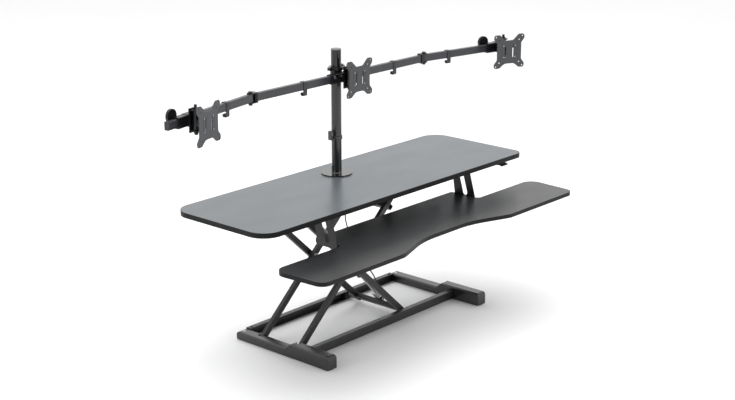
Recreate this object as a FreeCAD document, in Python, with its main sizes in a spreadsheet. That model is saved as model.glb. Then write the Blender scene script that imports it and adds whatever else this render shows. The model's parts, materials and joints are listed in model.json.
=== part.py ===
import FreeCAD, Part
import math
import os

from FreeCAD import Placement, Rotation, Vector

# Standing desk converter with keyboard tray and triple monitor mount.
# Z up, millimetres.  The origin is the middle of the footprint on the floor,
# X to the user's right and -Y towards the user.

doc = FreeCAD.newDocument("StandingDeskConverter")
sheet = doc.addObject("Spreadsheet::Sheet", "Dims")

DIMENSIONS = {
    "desk_width": 1200, "desk_rear": 295, "desk_depth": 381, "desk_top": 465,
    "board_thick": 15, "desk_corner": 60, "lever_corner": 32, "band_thick": 1.5,
    "tray_top": 374, "tray_thick": 12, "tray_front": 295,
    "foot_outer": 377, "foot_width": 38, "foot_front": 110, "foot_rear": 273,
    "foot_low": 26, "foot_high": 43, "pad_height": 2,
    "bar_height": 27, "bar_depth": 18, "sheet_thick": 2, "bar_front": 4, "bar_rear": 252,
    "rail_height": 23, "rail_front": 48, "rail_rear": 184,
    "arm_length": 625, "arm_height": 18, "arm_width": 13, "arm_wall": 1.5,
    "base_pivot": 345, "base_pivot_rise": 15.5, "top_pivot_drop": 26.5,
    "pin_radius": 4, "bore_radius": 4.05,
    "spring_radius": 11, "spring_bore": 7.5, "rod_radius": 4, "cable_radius": 2,
    "pole_x": 0, "pole_y": 199, "pole_radius": 16, "pole_height": 396, "disc_radius": 49,
    "tube_height": 24, "tube_width": 15, "tube_wall": 1.5, "tube_z": 777, "tube_y": 173,
    "hinge_x": 392, "outer_tube": 388, "outer_bend": 11,
    "left_carriage_at": 296, "right_carriage_at": 324, "head_x": 6,
    "plate_thick": 3, "vesa_large": 100, "vesa_small": 75,
}
for row, (alias, number) in enumerate(DIMENSIONS.items(), start=1):
    sheet.set(f"A{row}", alias)
    sheet.set(f"B{row}", str(number))
    sheet.setAlias(f"B{row}", alias)
doc.recompute()


def dim(alias):
    """Value of one driving dimension."""
    return float(sheet.get(alias))


# ---------------------------------------------------------------- helpers

AXES = {"X": Vector(1, 0, 0), "Y": Vector(0, 1, 0), "Z": Vector(0, 0, 1)}
PLANES = {"X": "YZ_Plane", "Y": "XZ_Plane", "Z": "XY_Plane"}


def rounded(points, radii):
    """Closed outline with a tangent arc at each corner of the given radius."""
    count = len(points)
    radii = radii if isinstance(radii, (list, tuple)) else [radii] * count
    corners = []
    for i, (x, y) in enumerate(points):
        here = Vector(x, y, 0)
        back = (Vector(*points[i - 1], 0) - here).normalize()
        ahead = (Vector(*points[(i + 1) % count], 0) - here).normalize()
        half = back.getAngle(ahead) / 2
        if radii[i] <= 0:
            corners.append((here, here, None))
            continue
        reach = radii[i] / math.tan(half)
        centre = here + (back + ahead).normalize() * (radii[i] / math.sin(half))
        middle = centre + (here - centre).normalize() * radii[i]
        corners.append((here + back * reach, here + ahead * reach, middle))
    edges = []
    for i, (start, end, middle) in enumerate(corners):
        if middle is not None:
            edges.append(Part.Arc(start, middle, end))
        following = corners[(i + 1) % count][0]
        if end.distanceToPoint(following) > 1e-6:
            edges.append(Part.LineSegment(end, following))
    return edges


def box_outline(x0, y0, x1, y1, radius=0):
    """Rectangle outline with equal corner radii."""
    return rounded([(x0, y0), (x1, y0), (x1, y1), (x0, y1)], radius)


def ring(x, y, radius):
    """Circle outline."""
    return [Part.Circle(Vector(x, y, 0), Vector(0, 0, 1), radius)]


def obround(x0, y0, x1, y1, radius):
    """Slot outline between two centres."""
    along = Vector(x1 - x0, y1 - y0, 0).normalize()
    side = Vector(-along.y, along.x, 0) * radius
    first, last = Vector(x0, y0, 0), Vector(x1, y1, 0)
    return [
        Part.LineSegment(first - side, last - side),
        Part.Arc(last - side, last + along * radius, last + side),
        Part.LineSegment(last + side, first + side),
        Part.Arc(first + side, first - along * radius, first - side),
    ]


def add_sketch(body, label, axis, offset, outlines):
    """Sketch on the body's own plane normal to the axis; offset runs along that axis."""
    sketch = body.newObject("Sketcher::SketchObject", label)
    plane = next(o for o in body.Origin.OriginFeatures if o.Role == PLANES[axis])
    sketch.AttachmentSupport = [(plane, "")]
    sketch.MapMode = "FlatFace"
    turned = -offset if axis == "Y" else offset
    sketch.AttachmentOffset = Placement(Vector(0, 0, turned), Rotation())
    for outline in outlines:
        sketch.addGeometry(outline, False)
    doc.recompute()
    return sketch


def pad_body(label, axis, start, length, outlines):
    """Body padded from start by length (number or expression) towards +axis."""
    body = doc.addObject("PartDesign::Body", label)
    body.Label = label
    sketch = add_sketch(body, label + "_outline", axis, start, outlines)
    pad = body.newObject("PartDesign::Pad", label + "_pad")
    pad.Profile = sketch
    pad.Reversed = axis == "Y"
    bind(pad, "Length", length)
    body.Tip = pad
    doc.recompute()
    return body


def pocket(body, label, axis, start, length, outlines):
    """Cut from start by length towards +axis."""
    before = body.Shape.Volume
    sketch = add_sketch(body, f"{body.Label}_{label}", axis, start, outlines)
    cut = body.newObject("PartDesign::Pocket", f"{body.Label}_{label}_cut")
    cut.Profile = sketch
    bind(cut, "Length", length)
    body.Tip = cut
    for reverse in (axis != "Y", axis == "Y"):
        cut.Reversed = reverse
        doc.recompute()
        if body.Shape.Volume < before - 1e-6:
            return body
    raise RuntimeError(f"{body.Label}: {label} removed nothing")


def bind(target, prop, expression):
    """Set a property from a number or from an expression on the sheet."""
    if isinstance(expression, str):
        target.setExpression(prop, expression)
    else:
        setattr(target, prop, expression)


def cylinder(label, base, direction, radius, height):
    """Cylinder from base along direction; radius and height may be expressions."""
    part = doc.addObject("Part::Cylinder", label)
    bind(part, "Radius", radius)
    bind(part, "Height", height)
    axis = AXES[direction] if isinstance(direction, str) else direction
    part.Placement = Placement(base, Rotation(Vector(0, 0, 1), axis))
    return part


def block(label, corner, size):
    """Box from its lowest corner; each size may be a number or an expression."""
    part = doc.addObject("Part::Box", label)
    for prop, value in zip(("Length", "Width", "Height"), size):
        bind(part, prop, value)
    part.Placement = Placement(corner, Rotation())
    return part


def fuse(label, pieces):
    """One solid from overlapping pieces."""
    joined = doc.addObject("Part::MultiFuse", label)
    joined.Shapes = pieces
    joined.Refine = True
    doc.recompute()
    return joined


def cut(label, base, tool):
    """Base less tool."""
    result = doc.addObject("Part::Cut", label)
    result.Base = base
    result.Tool = tool
    result.Refine = True
    doc.recompute()
    return result


def group(label, pieces):
    """Several separate solids kept under one name."""
    together = doc.addObject("Part::Compound", label)
    together.Links = pieces
    together.Label = label
    doc.recompute()
    return together


def bolt(label, tip, direction, shank, head_radius, head_height, radius="Dims.pin_radius"):
    """Shank from tip along direction with a round head at its end."""
    axis = AXES[direction] if isinstance(direction, str) else direction
    stem = cylinder(label + "_shank", tip, axis, radius, shank)
    head = cylinder(label + "_head", tip + axis * shank, axis, head_radius, head_height)
    return fuse(label, [stem, head])


NODES = []


def node(part, label):
    """Register a finished sub-part under its name."""
    part.Label = label
    NODES.append(part)
    return part


# ---------------------------------------------------------------- layout

PIN = "Dims.pin_radius"
FLOOR_PIVOT = Vector(-dim("base_pivot"), 0, dim("base_pivot_rise"))
TOP_PIVOT_Z = dim("desk_top") - dim("top_pivot_drop")
RISE = TOP_PIVOT_Z - FLOOR_PIVOT.z
LIFT = math.asin(RISE / dim("arm_length"))
REACH = dim("arm_length") * math.cos(LIFT)
TOP_PIVOT = Vector(FLOOR_PIVOT.x, 0, TOP_PIVOT_Z)
ARM_CENTRE = Vector(FLOOR_PIVOT.x + REACH / 2, 0, FLOOR_PIVOT.z + RISE / 2)
INNER_Y = (40, 192)
OUTER_Y = (22, 210)
UNDERSIDE = dim("desk_top") - dim("board_thick")
TRAY_UNDER = dim("tray_top") - dim("tray_thick")
SPRING_Y = 116


def level(point, y):
    """The same point moved to the given y."""
    return Vector(point.x, y, point.z)


def on_inner(along, normal, y):
    """Point on the inner arms: along from the floor pivot, normal upwards."""
    return Vector(FLOOR_PIVOT.x + along * math.cos(LIFT) - normal * math.sin(LIFT), y,
                  FLOOR_PIVOT.z + along * math.sin(LIFT) + normal * math.cos(LIFT))


def on_outer(along, normal, y):
    """Point on the outer arms: along from the top pivot, normal upwards."""
    return Vector(TOP_PIVOT.x + along * math.cos(LIFT) + normal * math.sin(LIFT), y,
                  TOP_PIVOT.z - along * math.sin(LIFT) + normal * math.cos(LIFT))


# ---------------------------------------------------------------- base

FOOT_INNER = dim("foot_outer") - dim("foot_width")
BEVEL = 4
LOW, HIGH, PAD_TOP = dim("foot_low"), dim("foot_high"), dim("pad_height")
FRONT, REAR = -dim("foot_front"), dim("foot_rear")


def make_foot(label, side, notched):
    """Moulded foot: low at the rear, higher at the front, hollow between its pads."""
    x0 = -dim("foot_outer") if side < 0 else FOOT_INNER
    profile = rounded(
        [(FRONT, PAD_TOP), (REAR, PAD_TOP), (REAR, LOW), (64, LOW), (46, HIGH),
         (FRONT + 4, HIGH), (FRONT, HIGH - 12)],
        [0, 0, 9, 5, 5, 6, 4])
    foot = pad_body(label, "X", x0, "Dims.foot_width", [profile])
    for i, (y0, run, top) in enumerate(((FRONT - 1, -FRONT + 47, HIGH), (64, REAR - 63, LOW))):
        for edge_x, way in ((x0, 1), (x0 + dim("foot_width"), -1)):
            corner = [(edge_x - way, top - BEVEL), (edge_x, top - BEVEL),
                      (edge_x + way * BEVEL, top), (edge_x + way * BEVEL, top + 1),
                      (edge_x - way, top + 1)]
            pocket(foot, f"bevel_{i}_{way + 1}", "Y", y0, run, [rounded(corner, 0)])
    for i, (y0, y1, top) in enumerate(((-82, 66, 20), (95, 245, 20))):
        hollow = box_outline(x0 + 3, y0, x0 + dim("foot_width") - 3, y1, 3)
        pocket(foot, f"hollow_{i}", "Z", PAD_TOP, top - PAD_TOP, [hollow])
    middle = x0 + dim("foot_width") / 2
    pocket(foot, "recess", "Z", LOW - 2.5, 5, [ring(middle, REAR - 14, 6.5)])
    pocket(foot, "screw_hole", "Z", PAD_TOP, LOW - PAD_TOP, [ring(middle, REAR - 14, 2.6)])
    if notched:
        for i, y in enumerate(INNER_Y):
            notch = box_outline(-357, y - 11, -FOOT_INNER + 1, y + 11)
            pocket(foot, f"notch_{i}", "Z", PAD_TOP, HIGH, [notch])
    return foot


node(make_foot("left_foot", -1, True), "left_foot")
node(make_foot("right_foot", 1, False), "right_foot")

foot_middle = dim("foot_outer") - dim("foot_width") / 2
pads = []
for side in (-1, 1):
    for i, y in enumerate((FRONT + 13, 80, REAR - 14)):
        hole = cylinder(f"pad_hole_{side}_{i}", Vector(side * foot_middle, y, -1), "Z", 4.2, 4)
        disc = cylinder(f"pad_disc_{side}_{i}", Vector(side * foot_middle, y, 0), "Z", 12,
                        "Dims.pad_height")
        pads.append(cut(f"foot_pad_{side}_{i}", disc, hole) if i == 2 else disc)
node(group("foot_pads", pads), "foot_pads")

BAR_Z = PAD_TOP
BAR_TOP = BAR_Z + dim("bar_height")
GAUGE = dim("sheet_thick")


def channel(label, x0, length, web_y, open_y, z0, z1):
    """C-section along X with its web at web_y and its mouth at open_y."""
    way = 1 if open_y > web_y else -1
    section = rounded(
        [(web_y, z0), (open_y, z0), (open_y, z0 + GAUGE), (web_y + way * GAUGE, z0 + GAUGE),
         (web_y + way * GAUGE, z1 - GAUGE), (open_y, z1 - GAUGE), (open_y, z1), (web_y, z1)],
        [1.5, 0, 0, 0, 0, 0, 0, 1.5])
    return pad_body(label, "X", x0, length, [section])


BAR_FRONT_WEB = -dim("bar_front")
BAR_REAR_WEB = dim("bar_rear") + dim("bar_depth")
node(channel("front_crossbar", -FOOT_INNER, 2 * FOOT_INNER, BAR_FRONT_WEB,
             BAR_FRONT_WEB + dim("bar_depth"), BAR_Z, BAR_TOP), "front_crossbar")
node(channel("rear_crossbar", -FOOT_INNER, 2 * FOOT_INNER, BAR_REAR_WEB,
             dim("bar_rear"), BAR_Z, BAR_TOP), "rear_crossbar")

screws = []
for side in (-1, 1):
    tip = Vector(side * foot_middle, REAR - 14, 1)
    screws.append(bolt(f"foot_screw_{side}", tip, "Z", LOW - 3.5, 5.5, 2.2, 2.5))
node(group("foot_screws", screws), "foot_screws")


def pivot_bracket(label, y):
    """U bracket standing in the foot: a base strip and two cheeks bored for the pin."""
    strip = block(label + "_strip", Vector(-373, y - 10.5, PAD_TOP), (40, 21, 2.5))
    cheeks = [block(f"{label}_cheek_{i}", Vector(-357, y + shift, PAD_TOP), (24, 3, 23))
              for i, shift in enumerate((-10.5, 7.5))]
    solid = fuse(label + "_solid", [strip] + cheeks)
    bore = cylinder(label + "_bore", level(FLOOR_PIVOT, y - 12), "Y", "Dims.bore_radius", 24)
    return cut(label, solid, bore)


node(group("lower_pivot_brackets",
           [pivot_bracket(f"lower_bracket_{i}", y) for i, y in enumerate(INNER_Y)]),
     "lower_pivot_brackets")
node(group("lower_pivot_pins",
           [cylinder(f"lower_pin_{i}", level(FLOOR_PIVOT, y - 10.9), "Y", PIN, 21.8)
            for i, y in enumerate(INNER_Y)]), "lower_pivot_pins")

# ---------------------------------------------------------------- scissor arms


def make_arm(label, pivot, y, downwards):
    """Rounded-end rectangular tube with three bores, laid from pivot to pivot."""
    length, half = dim("arm_length"), dim("arm_height") / 2
    width, wall = dim("arm_width"), dim("arm_wall")
    outline = obround(0, 0, length, 0, half)
    bores = [ring(x, 0, dim("bore_radius")) for x in (0, length / 2, length)]
    arm = pad_body(label, "Y", -width / 2, "Dims.arm_width", [outline] + bores)
    inside = box_outline(-width / 2 + wall, -half + wall, width / 2 - wall, half - wall, 1)
    pocket(arm, "inside", "X", -half - 1, length + 2 * half + 2, [inside])
    tilt = LIFT if downwards else -LIFT
    arm.Placement = Placement(Vector(pivot.x, y, pivot.z),
                              Rotation(Vector(0, 1, 0), math.degrees(tilt)))
    return arm


for name, y in zip(("front", "rear"), INNER_Y):
    node(make_arm(f"inner_arm_{name}", FLOOR_PIVOT, y, False), f"inner_arm_{name}")
for name, y in zip(("front", "rear"), OUTER_Y):
    node(make_arm(f"outer_arm_{name}", TOP_PIVOT, y, True), f"outer_arm_{name}")

HALF_ARM = dim("arm_width") / 2
INNER_SPAN = (INNER_Y[0] - HALF_ARM, INNER_Y[1] + HALF_ARM)
OUTER_SPAN = (OUTER_Y[0] + HALF_ARM, OUTER_Y[1] - HALF_ARM)

# Cross tube under the upper ends of the inner arms.
inner_tie = pad_body("inner_arm_tie", "Y", INNER_SPAN[0], INNER_SPAN[1] - INNER_SPAN[0],
                     [box_outline(-8, -8, 8, 8, 1.5), box_outline(-6.5, -6.5, 6.5, 6.5, 0.5)])
inner_tie.Placement = Placement(on_inner(545, -17, 0),
                                Rotation(Vector(0, 1, 0), -math.degrees(LIFT)))
node(inner_tie, "inner_arm_tie")


def centre_bolt(label, outer_y, inner_y):
    """Bolt, spacer and nut through one crossing of the arms."""
    way = 1 if inner_y > outer_y else -1
    outside = outer_y - way * (HALF_ARM + 0.5)
    inside = inner_y + way * HALF_ARM
    low, high = min(outside, inside), max(outside, inside)
    shank = cylinder(label + "_shank", level(ARM_CENTRE, low - 3), "Y", PIN, high - low + 6)
    head = cylinder(label + "_head", level(ARM_CENTRE, outside - (4 if way > 0 else 0)), "Y", 7, 4)
    nut = cylinder(label + "_nut", level(ARM_CENTRE, inside - (0 if way > 0 else 4)), "Y", 7, 4)
    gap = sorted((outer_y + way * (HALF_ARM + 0.5), inner_y - way * HALF_ARM))
    spacer = cylinder(label + "_spacer", level(ARM_CENTRE, gap[0]), "Y", 8, gap[1] - gap[0])
    return fuse(label, [shank, head, nut, spacer])


inner_top = on_inner(dim("arm_length"), 0, 0)
inner_pins = [centre_bolt(f"centre_bolt_{i}", outer, inner)
              for i, (outer, inner) in enumerate(zip(OUTER_Y, INNER_Y))]
inner_pins += [cylinder("upper_axle_front", level(inner_top, INNER_SPAN[0]), "Y", PIN, 27),
               cylinder("upper_axle_rear", level(inner_top, INNER_SPAN[1] - 27), "Y", PIN, 27)]
node(group("inner_arm_pins", inner_pins), "inner_arm_pins")

# Cross tube between the lower ends of the outer arms, with the lugs of the gas spring.
outer_foot = on_outer(dim("arm_length"), 0, 0)
tie_body = pad_body("outer_tie_tube", "Y", OUTER_SPAN[0], OUTER_SPAN[1] - OUTER_SPAN[0],
                    [box_outline(-8, -8, 8, 8, 1.5), box_outline(-6.5, -6.5, 6.5, 6.5, 0.5)])
tie_body.Placement = Placement(on_outer(607, 0, 0),
                               Rotation(Vector(0, 1, 0), math.degrees(LIFT)))
lug_bodies = []
for i, y in enumerate((SPRING_Y - 11, SPRING_Y + 8)):
    lug = pad_body(f"outer_tie_lug_{i}", "Y", y, 3,
                   [rounded([(-8, 6), (8, 6), (9, 23), (-7, 23)], [0, 0, 5, 5]),
                    ring(1, 15, dim("bore_radius"))])
    lug.Placement = tie_body.Placement
    lug_bodies.append(lug)
node(fuse("outer_arm_tie", [tie_body] + lug_bodies), "outer_arm_tie")

SPRING_LOW = on_outer(608, 15, SPRING_Y)
SPRING_TOP = Vector(-250, SPRING_Y, UNDERSIDE - 20)
low_axle_front = cylinder("lower_axle_front", level(outer_foot, 2), "Y", PIN,
                          OUTER_SPAN[0] - 2)
low_axle_rear = cylinder("lower_axle_rear", level(outer_foot, OUTER_SPAN[1]), "Y", PIN,
                         264 - OUTER_SPAN[1])
sleeve = cylinder("lower_axle_sleeve", level(outer_foot, OUTER_Y[1] + HALF_ARM), "Y", 8,
                  dim("bar_rear") - OUTER_Y[1] - HALF_ARM - 1.5)
spring_pin = cylinder("spring_lower_pin", SPRING_LOW - Vector(0, 11.5, 0), "Y", PIN, 23)
node(group("outer_arm_pins", [
    low_axle_front, fuse("lower_axle_rear_stepped", [low_axle_rear, sleeve]), spring_pin]),
     "outer_arm_pins")


def shoe(label, y0, depth, axle, height):
    """Sliding block bored for its axle."""
    body = block(label + "_body", Vector(axle.x - 18, y0, axle.z - height / 2),
                 (36, depth, height))
    bore = cylinder(label + "_bore", Vector(axle.x, y0 - 1, axle.z), "Y",
                    "Dims.bore_radius", depth + 2)
    return cut(label, body, bore)


node(group("lower_slide_shoes", [
    shoe("lower_shoe_front", -1.5, 15, outer_foot, dim("bar_height") - 2 * GAUGE - 0.7),
    shoe("lower_shoe_rear", 252.5, 15, outer_foot, dim("bar_height") - 2 * GAUGE - 0.7)]),
     "lower_slide_shoes")
node(group("upper_slide_shoes", [
    shoe("upper_shoe_front", 48.5, 15, inner_top, dim("rail_height") - 2 * GAUGE - 0.7),
    shoe("upper_shoe_rear", 168.5, 15, inner_top, dim("rail_height") - 2 * GAUGE - 0.7)]),
     "upper_slide_shoes")

# ---------------------------------------------------------------- gas spring

spring_way = (SPRING_LOW - SPRING_TOP).normalize()


def spring_frame(origin):
    """Placement whose +X runs down the spring and whose Y stays across it."""
    drop = math.degrees(math.atan2(-spring_way.z, spring_way.x))
    return Placement(origin, Rotation(Vector(0, 1, 0), drop))


barrel = pad_body("spring_barrel", "X", 16, 376, [ring(0, 0, dim("spring_radius"))])
neck = pad_body("spring_neck", "X", 5, 12, [ring(0, 0, 6)])
neck.Placement = spring_frame(SPRING_TOP)
pocket(barrel, "bore", "X", 92, 301, [ring(0, 0, dim("spring_bore"))])
eye = pad_body("spring_top_eye", "Y", -7, 14, [ring(0, 0, 10), ring(0, 0, dim("bore_radius"))])
barrel.Placement = spring_frame(SPRING_TOP)
eye.Placement = spring_frame(SPRING_TOP)
eye_clear = cylinder("spring_top_clear", SPRING_TOP - Vector(0, 12, 0), "Y",
                     "Dims.bore_radius", 24)
spring_solid = fuse("gas_spring_cylinder_solid", [barrel, neck, eye])
node(cut("gas_spring_cylinder", spring_solid, eye_clear), "gas_spring_cylinder")

rod = pad_body("spring_rod_bar", "X", -252, 245, [ring(0, 0, dim("rod_radius"))])
rod_eye = pad_body("spring_rod_eye", "Y", -7, 14, [ring(0, 0, 6.6), ring(0, 0, dim("bore_radius"))])
rod.Placement = spring_frame(SPRING_LOW)
rod_eye.Placement = spring_frame(SPRING_LOW)
node(fuse("gas_spring_rod", [rod, rod_eye]), "gas_spring_rod")

head = pad_body("release_head", "X", -38, 24, [box_outline(-10, -9, 10, 13, 2),
                                               ring(0, 0, dim("rod_radius") + 0.02)])
head.Placement = spring_frame(SPRING_LOW)
node(head, "release_head")

# ---------------------------------------------------------------- desktop and top frame

POLE = Vector(dim("pole_x"), dim("pole_y"), 0)
HALF_DESK = dim("desk_width") / 2
DESK_REAR = dim("desk_rear")
DESK_FRONT = DESK_REAR - dim("desk_depth")
BAND = dim("band_thick")


def desk_outline(inset):
    """Desktop outline moved inwards; the corner over the lever is tighter."""
    side, front, rear = HALF_DESK - inset, DESK_FRONT + inset, DESK_REAR - inset
    corner = dim("desk_corner") - inset
    return rounded([(-side, front), (side, front), (side, rear), (-side, rear)],
                   [corner, dim("lever_corner") - inset, corner, corner])


node(pad_body("desktop_board", "Z", UNDERSIDE, "Dims.board_thick",
              [desk_outline(BAND), ring(POLE.x, POLE.y, 6)]), "desktop_board")
desk_band = pad_body("desk_band", "Z", UNDERSIDE, "Dims.board_thick",
                     [desk_outline(0), desk_outline(BAND)])

RAIL_Z = UNDERSIDE - dim("rail_height")
node(group("top_rails", [
    channel("top_rail_front", -372, 717, dim("rail_front") + dim("bar_depth"),
            dim("rail_front"), RAIL_Z, UNDERSIDE),
    channel("top_rail_rear", -372, 717, dim("rail_rear") - dim("bar_depth"),
            dim("rail_rear"), RAIL_Z, UNDERSIDE)]), "top_rails")


def top_lug(label, x, y, z, radius):
    """Hanging ear under the desktop, bored for a pin."""
    return pad_body(label, "Y", y, 3,
                    [rounded([(x - 12, UNDERSIDE), (x - 12, z - 10), (x + 12, z - 10),
                              (x + 12, UNDERSIDE)], [0, 8, 8, 0]), ring(x, z, radius)])


bore = dim("bore_radius")
lugs = []
for i, y in enumerate(OUTER_Y):
    for side in (-1, 1):
        start = y + (HALF_ARM + 1 if side > 0 else -HALF_ARM - 4)
        lugs.append(top_lug(f"arm_lug_{i}_{side}", TOP_PIVOT.x, start, TOP_PIVOT.z, bore))
lugs += [top_lug(f"spring_lug_{i}", SPRING_TOP.x, y, SPRING_TOP.z, bore)
         for i, y in enumerate((SPRING_Y - 11, SPRING_Y + 8))]
node(group("top_frame_lugs", lugs), "top_frame_lugs")
upper_pins = [cylinder(f"upper_pin_{i}", level(TOP_PIVOT, y - 10.8), "Y", PIN, 21.6)
              for i, y in enumerate(OUTER_Y)]
upper_pins.append(cylinder("spring_upper_pin", SPRING_TOP - Vector(0, 11.5, 0), "Y", PIN, 23))
node(group("top_frame_pins", upper_pins), "top_frame_pins")

# ---------------------------------------------------------------- keyboard tray


def tray_outline(inset):
    """Tray outline: narrow middle at the rear, wide wings, shallow bay at the front."""
    front = -dim("tray_front") + inset
    wing = HALF_DESK - inset
    half = [(321 - inset, -7 - inset, 10), (321 - inset, -115 - inset, 14 + inset),
            (wing + 1, -115 - inset, 38 - inset), (wing - 10, front, 30 - inset),
            (250, front, 60), (110, front + 50, 300)]
    points = half + [(-x, y, r) for x, y, r in reversed(half)]
    return rounded([(x, y) for x, y, _ in points], [r for _, _, r in points])


TRAY_SCREWS = [(side * 306, y) for side in (-1, 1) for y in (-84, -60, -36)]
tray_board = pad_body("tray_board", "Z", TRAY_UNDER, "Dims.tray_thick", [tray_outline(BAND)])
for i, (x, y) in enumerate(TRAY_SCREWS):
    pocket(tray_board, f"pilot_{i}", "Z", TRAY_UNDER, 8.5, [ring(x, y, 2.05)])
node(tray_board, "tray_board")
tray_band = pad_body("tray_band", "Z", TRAY_UNDER, "Dims.tray_thick",
                     [tray_outline(0), tray_outline(BAND)])
node(group("edge_bands", [desk_band, tray_band]), "edge_bands")


def tray_bracket(label, side):
    """Slotted side plate with a flange under the desktop and one under the tray."""
    web_x = 321.2 if side > 0 else -324.2
    web = pad_body(label + "_web", "X", web_x, 3, [
        rounded([(-8, UNDERSIDE), (-22, TRAY_UNDER - 2.5), (-100, TRAY_UNDER - 2.5),
                 (-100, TRAY_UNDER + 12), (-78, UNDERSIDE)], [0, 6, 6, 12, 0]),
        obround(-45, 437, -61, 383, 9)])
    flange_x = 291 if side > 0 else -324.2
    upper = block(label + "_upper", Vector(flange_x, -76, UNDERSIDE - 2.5), (33.2, 66, 2.5))
    lower = pad_body(label + "_lower", "Z", TRAY_UNDER - 2.5, 2.5, [
        box_outline(flange_x, -96, flange_x + 33.2, -24),
        *[ring(x, y, 2.05) for x, y in TRAY_SCREWS if x * side > 0]])
    return fuse(label, [web, upper, lower])


node(group("tray_brackets", [tray_bracket("tray_bracket_left", -1),
                             tray_bracket("tray_bracket_right", 1)]), "tray_brackets")

node(group("tray_screws", [
    bolt(f"tray_screw_{i}", Vector(x, y, TRAY_UNDER + 8), Vector(0, 0, -1), 10.5, 4, 1.5, 2)
    for i, (x, y) in enumerate(TRAY_SCREWS)]), "tray_screws")

# ---------------------------------------------------------------- release lever and cable

LEVER = Vector(505, -34, UNDERSIDE - 10)
housing_top = block("lever_housing_top", Vector(LEVER.x - 19, -52, UNDERSIDE - 2), (38, 38, 2))
housing_cheeks = [block(f"lever_cheek_{i}", Vector(LEVER.x + shift, -52, LEVER.z - 6),
                        (2.5, 38, 16)) for i, shift in enumerate((-19, 16.5))]
housing_bore = cylinder("lever_housing_bore", LEVER - Vector(25, 0, 0), "X", 2.55, 50)
housing = cut("lever_frame", fuse("lever_frame_solid", [housing_top] + housing_cheeks),
              housing_bore)
lever_pin = cylinder("lever_pin", LEVER - Vector(19, 0, 0), "X", 2.5, 38)
node(group("lever_housing", [housing, lever_pin]), "lever_housing")
paddle = pad_body("lever_paddle", "X", LEVER.x - 15.5, 31, [
    rounded([(-24, 443), (-30, 446), (-40, 445), (-76, 442.5), (-83, 438), (-80, 435.5),
             (-72, 438.5), (-44, 435.5), (-28, 435.5), (-22, 438)],
            [1.5, 3, 8, 3, 1.5, 1.5, 3, 6, 4, 1.5]), ring(LEVER.y, LEVER.z, 2.55)])
node(paddle, "release_lever")


def smooth_cable(points, radius, run=45.0):
    """Round cord of straight runs joined by tangent arcs; gives spine, solid and bends."""
    curve = Part.BSplineCurve()
    curve.interpolate(points)
    count = max(4, int(curve.length() / run))
    stops = curve.toShape().discretize(Number=count + 1)
    edges, bends, last = [], [], stops[0]
    for before, here, after in zip(stops, stops[1:], stops[2:]):
        back, ahead = before - here, after - here
        half_turn = (math.pi - back.getAngle(ahead)) / 2
        if half_turn < 1e-3:
            continue
        reach = 0.45 * min(back.Length, ahead.Length)
        start = here + back.normalize() * reach
        end = here + ahead.normalize() * reach
        bisect = (back + ahead).normalize()
        bend = reach / math.tan(half_turn)
        middle = here + bisect * (bend / math.cos(half_turn) - bend)
        edges += [Part.LineSegment(last, start).toShape(),
                  Part.Arc(start, middle, end).toShape()]
        last = end
        bends.append(bend)
    edges.append(Part.LineSegment(last, stops[-1]).toShape())
    spine = Part.Wire(edges)
    tangent = edges[0].tangentAt(edges[0].FirstParameter)
    circle = Part.Wire(Part.Circle(stops[0], tangent, radius).toShape())
    return spine, spine.makePipeShell([circle], True, True, 2), bends


across_spring = Vector(-spring_way.z, 0, spring_way.x)
head_top = SPRING_LOW - spring_way * 26 + across_spring * 15.4
under = UNDERSIDE - 7
spine, cable_solid, bends = smooth_cable([
    head_top, Vector(90, SPRING_Y, 108), Vector(60, SPRING_Y, 152),
    Vector(-10, SPRING_Y - 2, 248), Vector(-48, SPRING_Y - 4, 320),
    Vector(-62, SPRING_Y - 12, 372), Vector(-52, 84, 412), Vector(-12, 50, 421),
    Vector(36, 14, 430), Vector(100, 0, under), Vector(220, -2, under),
    Vector(340, -3, under), Vector(420, 0, under), Vector(470, 5, 442),
    Vector(496, 1, 441), Vector(504, -21, LEVER.z)], dim("cable_radius"))
cable = doc.addObject("Part::Feature", "release_cable")
cable.Shape = cable_solid
node(cable, "release_cable")
section = math.pi * dim("cable_radius") ** 2
print("cable length", round(spine.Length, 1), "least bend", round(min(bends), 1),
      "volume ratio", round(cable_solid.Volume / (section * spine.Length), 4))

# ---------------------------------------------------------------- pole

DESK_TOP = dim("desk_top")
POLE_TOP = DESK_TOP + dim("pole_height")
disc_solid = cylinder("pole_disc_solid", POLE + Vector(0, 0, DESK_TOP), "Z",
                      "Dims.disc_radius", 4)
disc_bore = cylinder("pole_disc_bore", POLE + Vector(0, 0, DESK_TOP - 1), "Z", 6, 6)
node(cut("pole_base_disc", disc_solid, disc_bore), "pole_base_disc")
node(pad_body("pole", "Z", DESK_TOP + 4, POLE_TOP - DESK_TOP - 7,
              [ring(POLE.x, POLE.y, dim("pole_radius")),
               ring(POLE.x, POLE.y, dim("pole_radius") - 2)]), "pole")
node(cylinder("pole_cap", POLE + Vector(0, 0, POLE_TOP - 3), "Z", "Dims.pole_radius", 3),
     "pole_cap")
fixing = [cylinder("pole_bolt", POLE + Vector(0, 0, UNDERSIDE - 12), "Z", 5,
                   DESK_TOP + 4 - UNDERSIDE + 12),
          cylinder("pole_washer", POLE + Vector(0, 0, UNDERSIDE - 2), "Z", 14, 2),
          cylinder("pole_nut", POLE + Vector(0, 0, UNDERSIDE - 10), "Z", 9, 8),
          cylinder("pole_flange", POLE + Vector(0, 0, DESK_TOP + 4), "Z", 13.9, 3)]
node(fuse("pole_fixing_bolt", fixing), "pole_fixing_bolt")

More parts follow.
